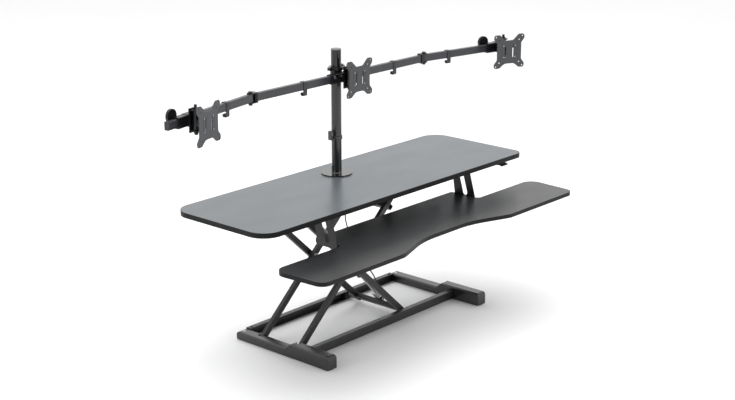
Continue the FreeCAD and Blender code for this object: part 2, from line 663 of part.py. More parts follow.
clip_ring = pad_body("pole_clip_ring", "Z", 577, 10,
                     [ring(POLE.x, POLE.y, dim("pole_radius") + 2.5),
                      ring(POLE.x, POLE.y, dim("pole_radius") + 0.05)])
clip_hook = pad_body("pole_clip_hook", "Y", POLE.y - 6, 12, [
    rounded([(-17.5, 577), (-32, 577), (-32, 606), (-21, 606), (-21, 602.5), (-28.5, 602.5),
             (-28.5, 580.5), (-17.5, 580.5)], [0, 3, 3, 0, 0, 1, 1, 0])])
node(fuse("pole_cable_clip", [clip_ring, clip_hook]), "pole_cable_clip")

# ---------------------------------------------------------------- monitor arms

TUBE_Z, TUBE_Y = dim("tube_z"), dim("tube_y")
TUBE_H, TUBE_W, TUBE_T = dim("tube_height") / 2, dim("tube_width") / 2, dim("tube_wall")
HINGE_X = dim("hinge_x")
HEAD_X = dim("head_x")

COLLAR_R = dim("pole_radius") + 2.4
pole_bore = ring(POLE.x, POLE.y, dim("pole_radius") + 0.05)
collar_ring = pad_body("collar_ring", "Z", TUBE_Z - 17, 38, [ring(POLE.x, POLE.y, COLLAR_R),
                                                             pole_bore])
collar_flange = pad_body("collar_flange", "Z", TUBE_Z + 20, 9, [ring(POLE.x, POLE.y, 24),
                                                                pole_bore])
collar_ears = pad_body("collar_ears", "Z", TUBE_Z + 20, 9, [
    box_outline(POLE.x - 34, POLE.y - 7, POLE.x + 34, POLE.y + 7, 3),
    ring(POLE.x, POLE.y, dim("pole_radius") + 2)])
node(fuse("pole_collar", [collar_ring, collar_flange, collar_ears]), "pole_collar")

bracket_outer = pad_body("bracket_outer", "X", HEAD_X - 66, 132, [
    box_outline(TUBE_Y - 11.5, TUBE_Z - 14.2, TUBE_Y + 10.2, TUBE_Z + 14.2, 1.5),
    box_outline(TUBE_Y - TUBE_W - 0.1, TUBE_Z - TUBE_H - 0.1, TUBE_Y + TUBE_W + 0.1,
                TUBE_Z + TUBE_H + 0.1)])
BRACKET_BOLTS = [HEAD_X + x for x in (-53, -24, 24, 53)]
for i, x in enumerate(BRACKET_BOLTS):
    pocket(bracket_outer, f"bolt_hole_{i}", "Y", TUBE_Y - 13, 6, [ring(x, TUBE_Z + 6, 3.05)])
bracket_clear = cylinder("bracket_clear", POLE + Vector(0, 0, TUBE_Z - 30), "Z",
                         COLLAR_R + 0.05, 70)
node(cut("centre_bracket", bracket_outer, bracket_clear), "centre_bracket")
node(group("bracket_bolts", [
    bolt(f"bracket_bolt_{i}", Vector(x, TUBE_Y - TUBE_W - 0.5, TUBE_Z + 6), Vector(0, -1, 0),
         3.5, 4.5, 3, 3) for i, x in enumerate(BRACKET_BOLTS)]), "bracket_bolts")


def tube_section(wall=0.0):
    """Tube outline in the plane across its length."""
    return box_outline(-TUBE_W + wall, -TUBE_H + wall, TUBE_W - wall, TUBE_H - wall,
                       2.0 - wall if wall < 1.9 else 0.3)


inner_tubes = []
for name, start in (("left", -HINGE_X + 13), ("right", 1)):
    tube = pad_body(f"{name}_inner_tube", "X", start, HINGE_X - 14,
                    [tube_section(), tube_section(TUBE_T)])
    tube.Placement = Placement(Vector(0, TUBE_Y, TUBE_Z), Rotation())
    inner_tubes.append(tube)
node(group("inner_tubes", inner_tubes), "inner_tubes")


def hinge_fork(label, side):
    """Sleeve on the tube end with an ear above and below the hinge."""
    inner_end, outer_end = side * (HINGE_X - 21), side * (HINGE_X - 14)
    sleeve = pad_body(label + "_sleeve", "X", min(inner_end, outer_end), 7, [
        box_outline(-TUBE_W - 3, -TUBE_H - 3.4, TUBE_W + 3, TUBE_H + 3.4, 2),
        box_outline(-TUBE_W - 0.05, -TUBE_H - 0.05, TUBE_W + 0.05, TUBE_H + 0.05)])
    sleeve.Placement = Placement(Vector(0, TUBE_Y, TUBE_Z), Rotation())
    tip, half = side * (HINGE_X + TUBE_W + 3), TUBE_W + 3
    plan = rounded([(inner_end, TUBE_Y - half), (tip, TUBE_Y - half), (tip, TUBE_Y + half),
                    (inner_end, TUBE_Y + half)], [0, half - 0.5, half - 0.5, 0])
    hole = ring(side * HINGE_X, TUBE_Y, dim("bore_radius"))
    ears = [pad_body(f"{label}_ear_{i}", "Z", TUBE_Z + z, 3, [plan, hole])
            for i, z in enumerate((TUBE_H + 0.4, -TUBE_H - 3.4))]
    return fuse(label, [sleeve] + ears)


node(group("hinge_forks", [hinge_fork("hinge_fork_left", -1),
                           hinge_fork("hinge_fork_right", 1)]), "hinge_forks")
hinge_bolts = []
for side in (-1, 1):
    low = Vector(side * HINGE_X, TUBE_Y, TUBE_Z - TUBE_H - 10)
    stem = cylinder(f"hinge_stem_{side}", low, "Z", PIN, 2 * TUBE_H + 17)
    cap = cylinder(f"hinge_head_{side}", low + Vector(0, 0, 2 * TUBE_H + 13.5), "Z", 6.5, 3.5)
    nut = cylinder(f"hinge_nut_{side}", low + Vector(0, 0, 1), "Z", 6, 5.5)
    hinge_bolts.append(fuse(f"hinge_bolt_{side}", [stem, cap, nut]))
node(group("hinge_bolts", hinge_bolts), "hinge_bolts")


def tube_clip(label, at):
    """Cable clip: a saddle over the tube and an open hook below it."""
    saddle = pad_body(label + "_saddle", "X", at - 7, 14, [
        box_outline(-TUBE_W - 1.5, -TUBE_H - 1.5, TUBE_W + 1.5, TUBE_H + 1.5, 2),
        box_outline(-TUBE_W - 0.05, -TUBE_H - 0.05, TUBE_W + 0.05, TUBE_H + 0.05)])
    hook = pad_body(label + "_hook", "X", at - 7, 14, [
        rounded([(-TUBE_W - 1, -TUBE_H - 1), (-TUBE_W - 1, -TUBE_H - 18), (6, -TUBE_H - 18),
                 (6, -TUBE_H - 9), (3.4, -TUBE_H - 9), (3.4, -TUBE_H - 15.4),
                 (-TUBE_W + 1.4, -TUBE_H - 15.4), (-TUBE_W + 1.4, -TUBE_H - 1)],
                [0, 4, 4, 0, 0, 2, 2, 0])])
    return fuse(label, [saddle, hook])


inner_clips = []
for name, at in (("left", -172), ("right", 238)):
    clip = tube_clip(f"{name}_inner_clip", at)
    clip.Placement = Placement(Vector(0, TUBE_Y, TUBE_Z), Rotation())
    inner_clips.append(clip)
node(group("inner_tube_clips", inner_clips), "inner_tube_clips")


def tube_frame(side):
    """Placement of an outer tube: X runs outwards from the hinge on the right side."""
    turn = Rotation(Vector(0, 0, 1), -side * dim("outer_bend"))
    return Placement(Vector(side * HINGE_X, TUBE_Y, TUBE_Z), turn)


OUTER_LENGTH = dim("outer_tube")
for name, side, clip_at in (("left", -1, 123), ("right", 1, 101)):
    shell = pad_body(f"{name}_outer_shell", "X", min(0, side * OUTER_LENGTH), OUTER_LENGTH,
                     [tube_section(), tube_section(TUBE_T)])
    near, far = sorted((0, side * 6))
    knuckle_end = pad_body(f"{name}_outer_end", "Z", -TUBE_H, 2 * TUBE_H,
                           [obround(near, 0, far, 0, TUBE_W)])
    bore_tool = cylinder(f"{name}_outer_bore", Vector(0, 0, -20), "Z", "Dims.bore_radius", 40)
    bored = cut(f"{name}_outer_tube", fuse(f"{name}_outer_whole", [shell, knuckle_end]),
                bore_tool)
    bored.Placement = tube_frame(side)
    node(bored, f"{name}_outer_tube")
    end_start = OUTER_LENGTH if side > 0 else -OUTER_LENGTH - 3
    end_cap = pad_body(f"{name}_outer_plug", "X", end_start, 3, [tube_section()])
    end_cap.Placement = tube_frame(side)
    clip = tube_clip(f"{name}_outer_clip", side * clip_at)
    clip.Placement = tube_frame(side)
    node(group(f"{name}_tube_trim", [end_cap, clip]), f"{name}_tube_trim")

# ---------------------------------------------------------------- monitor heads

SWIVEL_Y, TILT_Y, PLATE_Y = -26, -45, -68
PLATE_T = dim("plate_thick")


def place(part, frame):
    """Move a finished part into its head's frame."""
    part.Placement = frame.multiply(part.Placement)
    return part


def make_carriage(label, on_tube):
    """Sliding sleeve with its lock and knob, or the fixed centre plate, and the swivel's ears."""
    pieces = [block(label + "_plate", Vector(-15, -17, -34), (30, 4, 68))]
    for i, z in enumerate((27, -31)):
        ear = pad_body(f"{label}_ear_{i}", "Z", z, 4, [
            rounded([(-13, -14), (-13, -33), (-7, -38), (7, -38), (13, -33), (13, -14)],
                    [0, 4, 4, 4, 4, 0]), ring(0, SWIVEL_Y, dim("bore_radius"))])
        pieces.append(ear)
    if on_tube:
        sleeve_part = pad_body(label + "_sleeve", "X", -15, 30, [
            box_outline(-14, -TUBE_H - 5, TUBE_W + 4, TUBE_H + 5, 2),
            box_outline(-TUBE_W - 0.15, -TUBE_H - 0.15, TUBE_W + 0.15, TUBE_H + 0.15)])
        lock = pad_body(label + "_lock", "X", -55, 40, [
            box_outline(-TUBE_W - 4, -TUBE_H - 4, TUBE_W + 4, TUBE_H + 4, 3),
            box_outline(-TUBE_W - 0.15, -TUBE_H - 0.15, TUBE_W + 0.15, TUBE_H + 0.15)])
        knob = cylinder(label + "_knob", Vector(-55, TUBE_W + 3.5, 18), "Y", 20, 8)
        pieces += [sleeve_part, lock, knob]
    return fuse(label, pieces)


def make_knuckle(label, height):
    """Swivel barrel with its pins and a forward lug bored for the tilt pin, at a height."""
    barrel_part = cylinder(label + "_barrel", Vector(0, SWIVEL_Y, -26.5), "Z", 8.5, 53)
    pin = cylinder(label + "_pin", Vector(0, SWIVEL_Y, -38), "Z", PIN, 79)
    top = cylinder(label + "_top", Vector(0, SWIVEL_Y, 31.5), "Z", 6.5, 5)
    bottom = cylinder(label + "_bottom", Vector(0, SWIVEL_Y, -37), "Z", 6.5, 5.5)
    lug = pad_body(label + "_lug", "X", -6, 12,
                   [rounded([(-30, height - 9), (-30, height + 9), (TILT_Y - 9, height + 9),
                             (TILT_Y - 9, height - 9)], [0, 0, 8, 8]),
                    ring(TILT_Y, height, 3.55)])
    return fuse(label, [barrel_part, pin, top, bottom, lug])


def make_tilt_head(label):
    """Fork over the knuckle lug, its pin, and the stub that the plate turns on."""
    cheeks = [pad_body(f"{label}_cheek_{side}", "X", 6.4 if side > 0 else -9.4, 3,
                       [rounded([(-58, -12), (-58, 12), (-37, 12), (-37, -12)], [0, 0, 7, 7])])
              for side in (-1, 1)]
    pin = cylinder(label + "_pin", Vector(-11.5, TILT_Y, 0), "X", 3.5, 23)
    web = block(label + "_web", Vector(-15, -61, -14), (30, 4, 28))
    stub = cylinder(label + "_stub", Vector(0, -64.8, 0), "Y", 6.95, 4)
    return fuse(label, cheeks + [pin, web, stub])


def make_plate(label):
    """Four-lobed plate with two square hole patterns, two slots and a cup behind for the stub."""
    half = [(15, 37, 12), (36, 56.5, 5), (57, 57, 8), (57, 42, 4), (45.5, 28, 10),
            (45.5, -28, 10), (57, -42, 4), (57, -57, 8), (36, -55.5, 5), (18, -41, 24)]
    points = half + [(-x, z, r) for x, z, r in reversed(half)]
    holes = [ring(sx * pitch / 2, sz * pitch / 2, 2.6)
             for pitch in (dim("vesa_large"), dim("vesa_small")) for sx in (-1, 1) for sz in (-1, 1)]
    slots = [obround(x, -18.5, x, 18.5, 2.5) for x in (-14.5, 14.5)]
    plate = pad_body(label + "_sheet", "Y", PLATE_Y, "Dims.plate_thick",
                     [rounded([(x, z) for x, z, _ in points], [r for _, _, r in points])]
                     + holes + slots)
    cup = pad_body(label + "_cup", "Y", PLATE_Y + PLATE_T, 3.8, [ring(0, 0, 11.5), ring(0, 0, 7)])
    return fuse(label, [plate, cup])


def turned_about(centre, axis, degrees):
    """Rotation about a point."""
    turn = Rotation(axis, degrees)
    return Placement(centre - turn.multVec(centre), turn)


HEADS = (("left", -1, 3.4, -6), ("centre", 0, 0, 4), ("right", 1, -12.8, -6))
for name, side, swivel, height in HEADS:
    if side:
        along = Placement(Vector(side * dim(f"{name}_carriage_at"), 0, 0), Rotation())
        frame = tube_frame(side).multiply(along)
    else:
        frame = Placement(Vector(HEAD_X, TUBE_Y + 1.5, TUBE_Z), Rotation())
    swung = frame.multiply(turned_about(Vector(0, SWIVEL_Y, 0), Vector(0, 0, 1), swivel))
    raised = swung.multiply(Placement(Vector(0, 0, height), Rotation()))
    node(place(make_carriage(f"{name}_carriage", side != 0), frame), f"{name}_carriage")
    node(place(make_knuckle(f"{name}_knuckle", height), swung), f"{name}_swivel_knuckle")
    node(place(make_tilt_head(f"{name}_tilt"), raised), f"{name}_tilt_head")
    node(place(make_plate(f"{name}_plate"), raised), f"{name}_vesa_plate")

# ---------------------------------------------------------------- checks and export

doc.recompute()
for item in doc.Objects:
    if {"Invalid", "Error"} & set(item.State):
        raise RuntimeError(f"{item.Label}: {item.State}")
os.makedirs("parts", exist_ok=True)
for part in NODES:
    shape = part.Shape
    if shape.isNull() or not shape.isValid() or not shape.Solids:
        raise RuntimeError(f"{part.Label}: bad shape")
    shape.exportStep(f"parts/{part.Label}.step")
    print(f"{part.Label:24s} solids {len(shape.Solids)} volume {shape.Volume:12.1f}")
print("nodes", len(NODES))
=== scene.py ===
import json
import logging
import math
from dataclasses import dataclass
from enum import Enum
from typing import Iterable, Sequence

import bmesh
import bpy
from mathutils import Matrix, Vector


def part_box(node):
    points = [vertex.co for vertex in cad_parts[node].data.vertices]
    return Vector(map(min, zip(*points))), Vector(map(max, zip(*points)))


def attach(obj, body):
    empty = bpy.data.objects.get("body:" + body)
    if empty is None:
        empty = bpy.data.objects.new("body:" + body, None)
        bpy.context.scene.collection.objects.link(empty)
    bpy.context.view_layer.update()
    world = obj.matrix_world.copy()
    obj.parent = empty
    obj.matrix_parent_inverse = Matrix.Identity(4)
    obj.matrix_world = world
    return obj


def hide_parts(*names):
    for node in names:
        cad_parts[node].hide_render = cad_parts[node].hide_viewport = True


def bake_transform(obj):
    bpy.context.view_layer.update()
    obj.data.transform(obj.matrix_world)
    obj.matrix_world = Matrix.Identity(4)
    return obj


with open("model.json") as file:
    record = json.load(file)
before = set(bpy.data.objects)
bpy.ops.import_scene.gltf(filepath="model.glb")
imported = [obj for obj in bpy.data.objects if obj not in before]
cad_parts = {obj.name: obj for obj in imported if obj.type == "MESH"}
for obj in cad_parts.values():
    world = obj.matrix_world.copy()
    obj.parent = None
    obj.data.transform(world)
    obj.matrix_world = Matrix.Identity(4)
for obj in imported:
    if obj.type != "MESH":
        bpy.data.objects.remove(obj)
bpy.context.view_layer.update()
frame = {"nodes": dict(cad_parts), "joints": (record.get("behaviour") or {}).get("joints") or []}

# Looks of a standing desk converter: a scissor lift carrying a desktop, a keyboard
# tray and a pole with three monitor heads.  Metres, Z up, the user at -Y.

LOG = logging.getLogger("desk_converter")
MM = 0.001
SHARP_FROM = math.radians(35)
RIM_DOTS = (0.72, 0.97)
Colour = tuple[float, float, float]
Triple = tuple[float, float, float]


# ------------------------------------------------------------------ finishes


class NodeBench:
    """Adds and links the nodes of one tree."""

    tree: bpy.types.NodeTree

    def add(self, kind: str, **settings: object) -> bpy.types.Node:
        """Add a node and set its properties.

        Args:
            kind: the node's Blender type.
            **settings: property names and values.

        Returns:
            The new node.
        """
        node = self.tree.nodes.new(kind)
        for key, value in settings.items():
            setattr(node, key, value)
        return node

    def join(self, source: bpy.types.NodeSocket, target: bpy.types.NodeSocket) -> None:
        """Link an output socket to an input socket."""
        self.tree.links.new(source, target)


class Board(NodeBench):
    """Wiring bench for one material's shader nodes."""

    def __init__(self, name: str) -> None:
        """Start a material with an empty Principled shader.

        Args:
            name: the material's name.
        """
        self.material = bpy.data.materials.new(name)
        self.material.use_nodes = True
        self.tree = self.material.node_tree
        self.shader = self.tree.nodes["Principled BSDF"]
        self.place = self.add("ShaderNodeTexCoord").outputs["Object"]

    def stretched(self, stretch: Triple) -> bpy.types.NodeSocket:
        """Object coordinates scaled along each axis.

        Args:
            stretch: scale of the pattern along X, Y and Z.

        Returns:
            The vector socket.
        """
        mapping = self.add("ShaderNodeMapping")
        mapping.inputs["Scale"].default_value = stretch
        self.join(self.place, mapping.inputs["Vector"])
        return mapping.outputs["Vector"]

    def noise(self, scale: float, detail: float = 3.0,
              stretch: Triple = (1.0, 1.0, 1.0)) -> bpy.types.NodeSocket:
        """Fractal noise in object space.

        Args:
            scale: features per metre.
            detail: octaves.
            stretch: scale of the pattern along each axis.

        Returns:
            The noise value's socket.
        """
        node = self.add("ShaderNodeTexNoise")
        node.inputs["Scale"].default_value = scale
        node.inputs["Detail"].default_value = detail
        self.join(self.stretched(stretch), node.inputs["Vector"])
        return node.outputs["Fac"]

    def cells(self, scale: float) -> bpy.types.NodeSocket:
        """Cell pattern, as in the grain of a moulded part.

        Args:
            scale: cells per metre.

        Returns:
            The distance socket.
        """
        node = self.add("ShaderNodeTexVoronoi", feature="SMOOTH_F1")
        node.inputs["Scale"].default_value = scale
        self.join(self.place, node.inputs["Vector"])
        return node.outputs["Distance"]

    def spread(self, value: bpy.types.NodeSocket, low: float, high: float,
               start: float = 0.3, end: float = 0.7) -> bpy.types.NodeSocket:
        """Map a pattern from start..end to low..high.

        Args:
            value: the pattern.
            low: result at start.
            high: result at end.
            start: pattern value that gives low.
            end: pattern value that gives high.

        Returns:
            The mapped socket.
        """
        node = self.add("ShaderNodeMapRange", clamp=True)
        for key, number in (("From Min", start), ("From Max", end), ("To Min", low),
                            ("To Max", high)):
            node.inputs[key].default_value = number
        self.join(value, node.inputs["Value"])
        return node.outputs["Result"]

    def product(self, a: bpy.types.NodeSocket, b: bpy.types.NodeSocket) -> bpy.types.NodeSocket:
        """Product of two patterns."""
        node = self.add("ShaderNodeMath", operation="MULTIPLY")
        self.join(a, node.inputs[0])
        self.join(b, node.inputs[1])
        return node.outputs[0]

    def blended(self, share: bpy.types.NodeSocket, first: Colour | bpy.types.NodeSocket,
                second: Colour) -> bpy.types.NodeSocket:
        """Mix two colours by a pattern.

        Args:
            share: 0 gives first, 1 gives second.
            first: a colour or a colour socket.
            second: a colour.

        Returns:
            The colour socket.
        """
        node = self.add("ShaderNodeMix", data_type="RGBA")
        self.join(share, node.inputs[0])
        if isinstance(first, tuple):
            node.inputs[6].default_value = (*first, 1.0)
        else:
            self.join(first, node.inputs[6])
        node.inputs[7].default_value = (*second, 1.0)
        return node.outputs[2]

    def edges(self, radius: float) -> tuple[bpy.types.NodeSocket, bpy.types.NodeSocket]:
        """Rounded normal, and a mask that is 1 on the edges.

        Args:
            radius: width of the rounding in metres.

        Returns:
            The normal socket and the mask socket.
        """
        bevel = self.add("ShaderNodeBevel", samples=4)
        bevel.inputs["Radius"].default_value = radius
        geometry = self.add("ShaderNodeNewGeometry")
        dot = self.add("ShaderNodeVectorMath", operation="DOT_PRODUCT")
        self.join(bevel.outputs["Normal"], dot.inputs[0])
        self.join(geometry.outputs["Normal"], dot.inputs[1])
        return bevel.outputs["Normal"], self.spread(dot.outputs["Value"], 1.0, 0.0, *RIM_DOTS)

    def relief(self, height: bpy.types.NodeSocket, depth: float, strength: float,
               under: bpy.types.NodeSocket | None = None) -> bpy.types.NodeSocket:
        """Bump a surface.

        Args:
            height: the height pattern.
            depth: height of the relief in metres.
            strength: share of the relief that shows.
            under: normal that the relief is laid on.

        Returns:
            The bumped normal's socket.
        """
        bump = self.add("ShaderNodeBump")
        bump.inputs["Strength"].default_value = strength
        bump.inputs["Distance"].default_value = depth
        self.join(height, bump.inputs["Height"])
        if under is not None:
            self.join(under, bump.inputs["Normal"])
        return bump.outputs["Normal"]


@dataclass(frozen=True)
class Finish:
    """A surface finish: its colours, gloss and the size of its grain."""

    name: str
    colour: Colour
    # Lighter colour on the rims: partly edge wear, partly a painted highlight on the edges.
    wear_and_highlight_colour: Colour
    roughness: float
    edge: float = 0.0005
    metallic: float = 0.0
    coat: float = 0.0
    specular: float = 0.5

    def build(self) -> bpy.types.Material:
        """Make the material.

        Returns:
            The finished material.
        """
        board = Board(self.name)
        shader = board.shader
        shader.inputs["Metallic"].default_value = self.metallic
        shader.inputs["Coat Weight"].default_value = self.coat
        shader.inputs["Coat Roughness"].default_value = 0.08
        shader.inputs["Specular IOR Level"].default_value = self.specular
        rounded, rim = board.edges(self.edge)
        # Rim mask times noise lightens patches along the edges: partly edge wear, partly a
        # painted highlight on the rims.
        wear_and_highlight_mask = board.product(rim, board.spread(board.noise(160, 4), 0.0, 0.8, 0.42, 0.66))
        tint = self.tint(board)
        board.join(board.blended(wear_and_highlight_mask, tint, self.wear_and_highlight_colour), shader.inputs["Base Color"])
        board.join(self.gloss(board), shader.inputs["Roughness"])
        board.join(self.grain(board, rounded), shader.inputs["Normal"])
        return board.material

    def shade(self, factor: float) -> Colour:
        """The colour made lighter or darker by a factor."""
        return (self.colour[0] * factor, self.colour[1] * factor, self.colour[2] * factor)

    def tint(self, board: Board) -> bpy.types.NodeSocket:
        """Colour pattern of the finish.

        Args:
            board: the material's bench.

        Returns:
            The colour socket.
        """
        cloud = board.spread(board.noise(9, 4), 0.0, 1.0)
        fleck = board.spread(board.noise(1400, 2), 0.0, 0.5)
        return board.blended(fleck, board.blended(cloud, self.shade(0.9), self.shade(1.1)),
                             self.shade(1.25))

    def gloss(self, board: Board) -> bpy.types.NodeSocket:
        """Roughness pattern: even, with faint smudges."""
        return board.spread(board.noise(22, 5), self.roughness * 0.9, self.roughness * 1.12)

    def grain(self, board: Board, under: bpy.types.NodeSocket) -> bpy.types.NodeSocket:
        """Relief of the finish: a fine even pebble."""
        return board.relief(board.noise(1100, 2), 0.00004, 0.25, under)


@dataclass(frozen=True)
class PowderCoat(Finish):
    """Sprayed coat with a fine orange-peel texture."""

    peel: float = 0.5

    def grain(self, board: Board, under: bpy.types.NodeSocket) -> bpy.types.NodeSocket:
        """Relief of the finish: peel with fine pits over it."""
        broad = board.relief(board.noise(520, 2), 0.00006, self.peel, under)
        return board.relief(board.noise(2300, 1), 0.00003, self.peel * 0.7, broad)


@dataclass(frozen=True)
class Laminate(Finish):
    """Pressed laminate: satin, with a fine pebble and wiped smudges."""

    def tint(self, board: Board) -> bpy.types.NodeSocket:
        """Colour pattern: fine lengthwise fibres over soft clouds."""
        cloud = board.spread(board.noise(4, 3), 0.0, 1.0)
        fibre = board.spread(board.noise(70, 5, (1.0, 14.0, 14.0)), 0.0, 0.55)
        return board.blended(fibre, board.blended(cloud, self.shade(0.94), self.shade(1.06)),
                             self.shade(1.14))

    def gloss(self, board: Board) -> bpy.types.NodeSocket:
        """Roughness pattern: broad wiped patches."""
        return board.spread(board.noise(7, 4, (1.0, 2.2, 1.0)), self.roughness * 0.92,
                            self.roughness * 1.1)

    def grain(self, board: Board, under: bpy.types.NodeSocket) -> bpy.types.NodeSocket:
        """Relief of the finish: a pressed pebble."""
        return board.relief(board.cells(950), 0.00003, 0.18, under)


@dataclass(frozen=True)
class Moulding(Finish):
    """Injection moulded plastic with an etched grain."""

    etch: float = 900.0

    def grain(self, board: Board, under: bpy.types.NodeSocket) -> bpy.types.NodeSocket:
        """Relief of the finish: etched cells."""
        return board.relief(board.cells(self.etch), 0.00006, 0.35, under)


@dataclass(frozen=True)
class Drawn(Finish):
    """Bare or plated metal with lengthwise drawing marks."""

    marks: Triple = (1.0, 1.0, 30.0)

    def tint(self, board: Board) -> bpy.types.NodeSocket:
        """Colour pattern: streaks and dull patches of plating."""
        streak = board.spread(board.noise(60, 4, self.marks), 0.0, 1.0)
        return board.blended(streak, self.shade(0.82), self.shade(1.12))

    def gloss(self, board: Board) -> bpy.types.NodeSocket:
        """Roughness pattern: streaks."""
        return board.spread(board.noise(90, 4, self.marks), self.roughness * 0.75,
                            self.roughness * 1.3)

    def grain(self, board: Board, under: bpy.types.NodeSocket) -> bpy.types.NodeSocket:
        """Relief of the finish: drawing marks."""
        return board.relief(board.noise(140, 3, self.marks), 0.00002, 0.3, under)


@dataclass(frozen=True)
class Plain(Finish):
    """Matt painted surface with hardly any pattern."""

    def tint(self, board: Board) -> bpy.types.NodeSocket:
        """Colour pattern: the faintest cloud."""
        cloud = board.spread(board.noise(0.7, 1), 0.0, 1.0)
        return board.blended(cloud, self.shade(0.995), self.shade(1.005))

    def grain(self, board: Board, under: bpy.types.NodeSocket) -> bpy.types.NodeSocket:
        """Relief of the finish: a trace of grit."""
        return board.relief(board.noise(900, 1), 0.00001, 0.05, under)


@dataclass(frozen=True)
class Palette:
    """Every finish of the converter, by what it dresses."""

    laminate: Finish = Laminate("dark_laminate", (0.086, 0.098, 0.108), (0.11, 0.115, 0.12),
                                0.3, 0.0004)
    tray_laminate: Finish = Laminate("tray_laminate", (0.016, 0.017, 0.018),
                                     (0.03, 0.031, 0.033), 0.3, 0.0004)
    edging: Finish = Moulding("edge_plastic", (0.004, 0.004, 0.0045), (0.012, 0.012, 0.013), 0.46,
                              0.0006, specular=0.2)
    frame_coat: Finish = PowderCoat("frame_powder_coat", (0.014, 0.014, 0.015),
                                    (0.09, 0.09, 0.09), 0.42, 0.0008, specular=0.4)
    bar_coat: Finish = PowderCoat("bar_powder_coat", (0.022, 0.022, 0.023), (0.12, 0.12, 0.12),
                                  0.36, 0.0008)
    arm_coat: Finish = PowderCoat("arm_powder_coat", (0.017, 0.016, 0.0155),
                                  (0.08, 0.077, 0.074), 0.4, 0.0010, specular=0.45)
    cover: Finish = Moulding("foot_moulding", (0.014, 0.014, 0.015), (0.07, 0.07, 0.072), 0.2,
                             0.0024, specular=0.7)
    rubber: Finish = Moulding("pad_rubber", (0.015, 0.015, 0.015), (0.03, 0.03, 0.03), 0.8,
                              0.0006, etch=1500.0)
    nylon: Finish = Moulding("slide_nylon", (0.02, 0.02, 0.021), (0.05, 0.05, 0.05), 0.5)
    zinc: Finish = Drawn("zinc_plate", (0.42, 0.42, 0.41), (0.55, 0.55, 0.54), 0.34, 0.0004, 1.0)
    polished: Finish = Drawn("polished_rod", (0.72, 0.72, 0.73), (0.8, 0.8, 0.8), 0.12, 0.0003,
                             1.0)
    cast_alloy: Finish = PowderCoat("cast_alloy", (0.50, 0.50, 0.49), (0.66, 0.66, 0.65), 0.42,
                                    0.0008, 0.9, peel=0.8)
    spring_gloss: Finish = Finish("spring_enamel", (0.010, 0.010, 0.011), (0.05, 0.05, 0.05),
                                  0.22, 0.0005, coat=0.5)
    pole_gloss: Finish = Finish("pole_enamel", (0.006, 0.006, 0.007), (0.05, 0.05, 0.05), 0.14,
                                0.0006, coat=0.3)
    grey_moulding: Finish = Moulding("grey_moulding", (0.12, 0.124, 0.13), (0.22, 0.22, 0.23),
                                     0.42, 0.0006)
    clip_moulding: Finish = Moulding("clip_moulding", (0.020, 0.020, 0.021), (0.14, 0.14, 0.145),
                                     0.34, 0.0010)
    mount_black: Finish = PowderCoat("mount_enamel", (0.006, 0.006, 0.007), (0.07, 0.07, 0.072),
                                     0.28, 0.0008, specular=0.4, peel=0.2)
    tube_slate: Finish = PowderCoat("slate_enamel", (0.030, 0.031, 0.037), (0.22, 0.225, 0.24),
                                    0.28, 0.0014, specular=0.5, peel=0.2)
    plate_grey: Finish = PowderCoat("plate_enamel", (0.048, 0.051, 0.056), (0.17, 0.175, 0.18),
                                    0.34, 0.0007, specular=0.45, peel=0.25)
    lever_plastic: Finish = Moulding("lever_moulding", (0.008, 0.008, 0.009), (0.04, 0.04, 0.04),
                                     0.4, 0.0010, specular=0.35)
    sheath: Finish = Moulding("cable_sheath", (0.012, 0.012, 0.013), (0.03, 0.03, 0.03), 0.4,
                              etch=2200.0)
    floor: Finish = Plain("studio_floor", (0.9, 0.9, 0.9), (0.9, 0.9, 0.9), 0.95,
                           specular=0.1)


class Wardrobe:
    """Builds each finish once and puts it on CAD nodes and new pieces."""

    def __init__(self) -> None:
        """Start with nothing built."""
        self.built: dict[str, bpy.types.Material] = {}

    def material(self, finish: Finish) -> bpy.types.Material:
        """The material of a finish, made on first use.

        Args:
            finish: the finish.

        Returns:
            Its material.
        """
        if finish.name not in self.built:
            self.built[finish.name] = finish.build()
        return self.built[finish.name]

    def dress(self, finish: Finish, nodes: Iterable[str]) -> None:
        """Put a finish on CAD nodes.

        Args:
            finish: the finish.
            nodes: the nodes' names.
        """
        for name in nodes:
            mesh = frame["nodes"][name].data
            if not mesh.materials:
                mesh.materials.append(None)
            for index in range(len(mesh.materials)):
                mesh.materials[index] = self.material(finish)


WARDROBE = Wardrobe()
PALETTE = Palette()


# ------------------------------------------------------------------ meshes


def joint_named(name: str) -> dict:
    """The record's joint of that name."""
    return next(joint for joint in frame["joints"] if joint["name"] == name)


def middle(node: str) -> Vector:
    """Centre of a CAD node's box.

    Args:
        node: the node's name.

    Returns:
        The point, in metres.
    """
    low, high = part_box(node)
    return (low + high) / 2


def seat(piece: bpy.types.Object, body: str) -> bpy.types.Object:
    """Attach a finished piece to its body.

    Args:
        piece: the piece, at the origin.
        body: the CAD body that it moves with.

    Returns:
        The piece.
    """
    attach(piece, body)
    faces = len(piece.data.polygons)
    LOG.info("%-26s rides on %-16s %6d faces", piece.name, body, faces)
    return piece


def mesh_object(name: str, mesh: bpy.types.Mesh, finish: Finish) -> bpy.types.Object:
    """Object of a mesh with one finish.

    Args:
        name: the piece's name.
        mesh: its mesh, in metres.
        finish: its finish.

    Returns:
        The new object.
    """
    mesh.name = name
    mesh.materials.clear()
    mesh.materials.append(WARDROBE.material(finish))
    piece = bpy.data.objects.new(name, mesh)
    bpy.context.scene.collection.objects.link(piece)
    return piece


def smooth(mesh: bpy.types.Mesh) -> None:
    """Shade a mesh smooth and keep its steep edges sharp."""
    for face in mesh.polygons:
        face.use_smooth = True
    mesh.set_sharp_from_angle(angle=SHARP_FROM)


def facing(axis: Vector) -> Matrix:
    """Rotation that turns +Z to the given direction."""
    return axis.normalized().to_track_quat("Z", "Y").to_matrix().to_4x4()


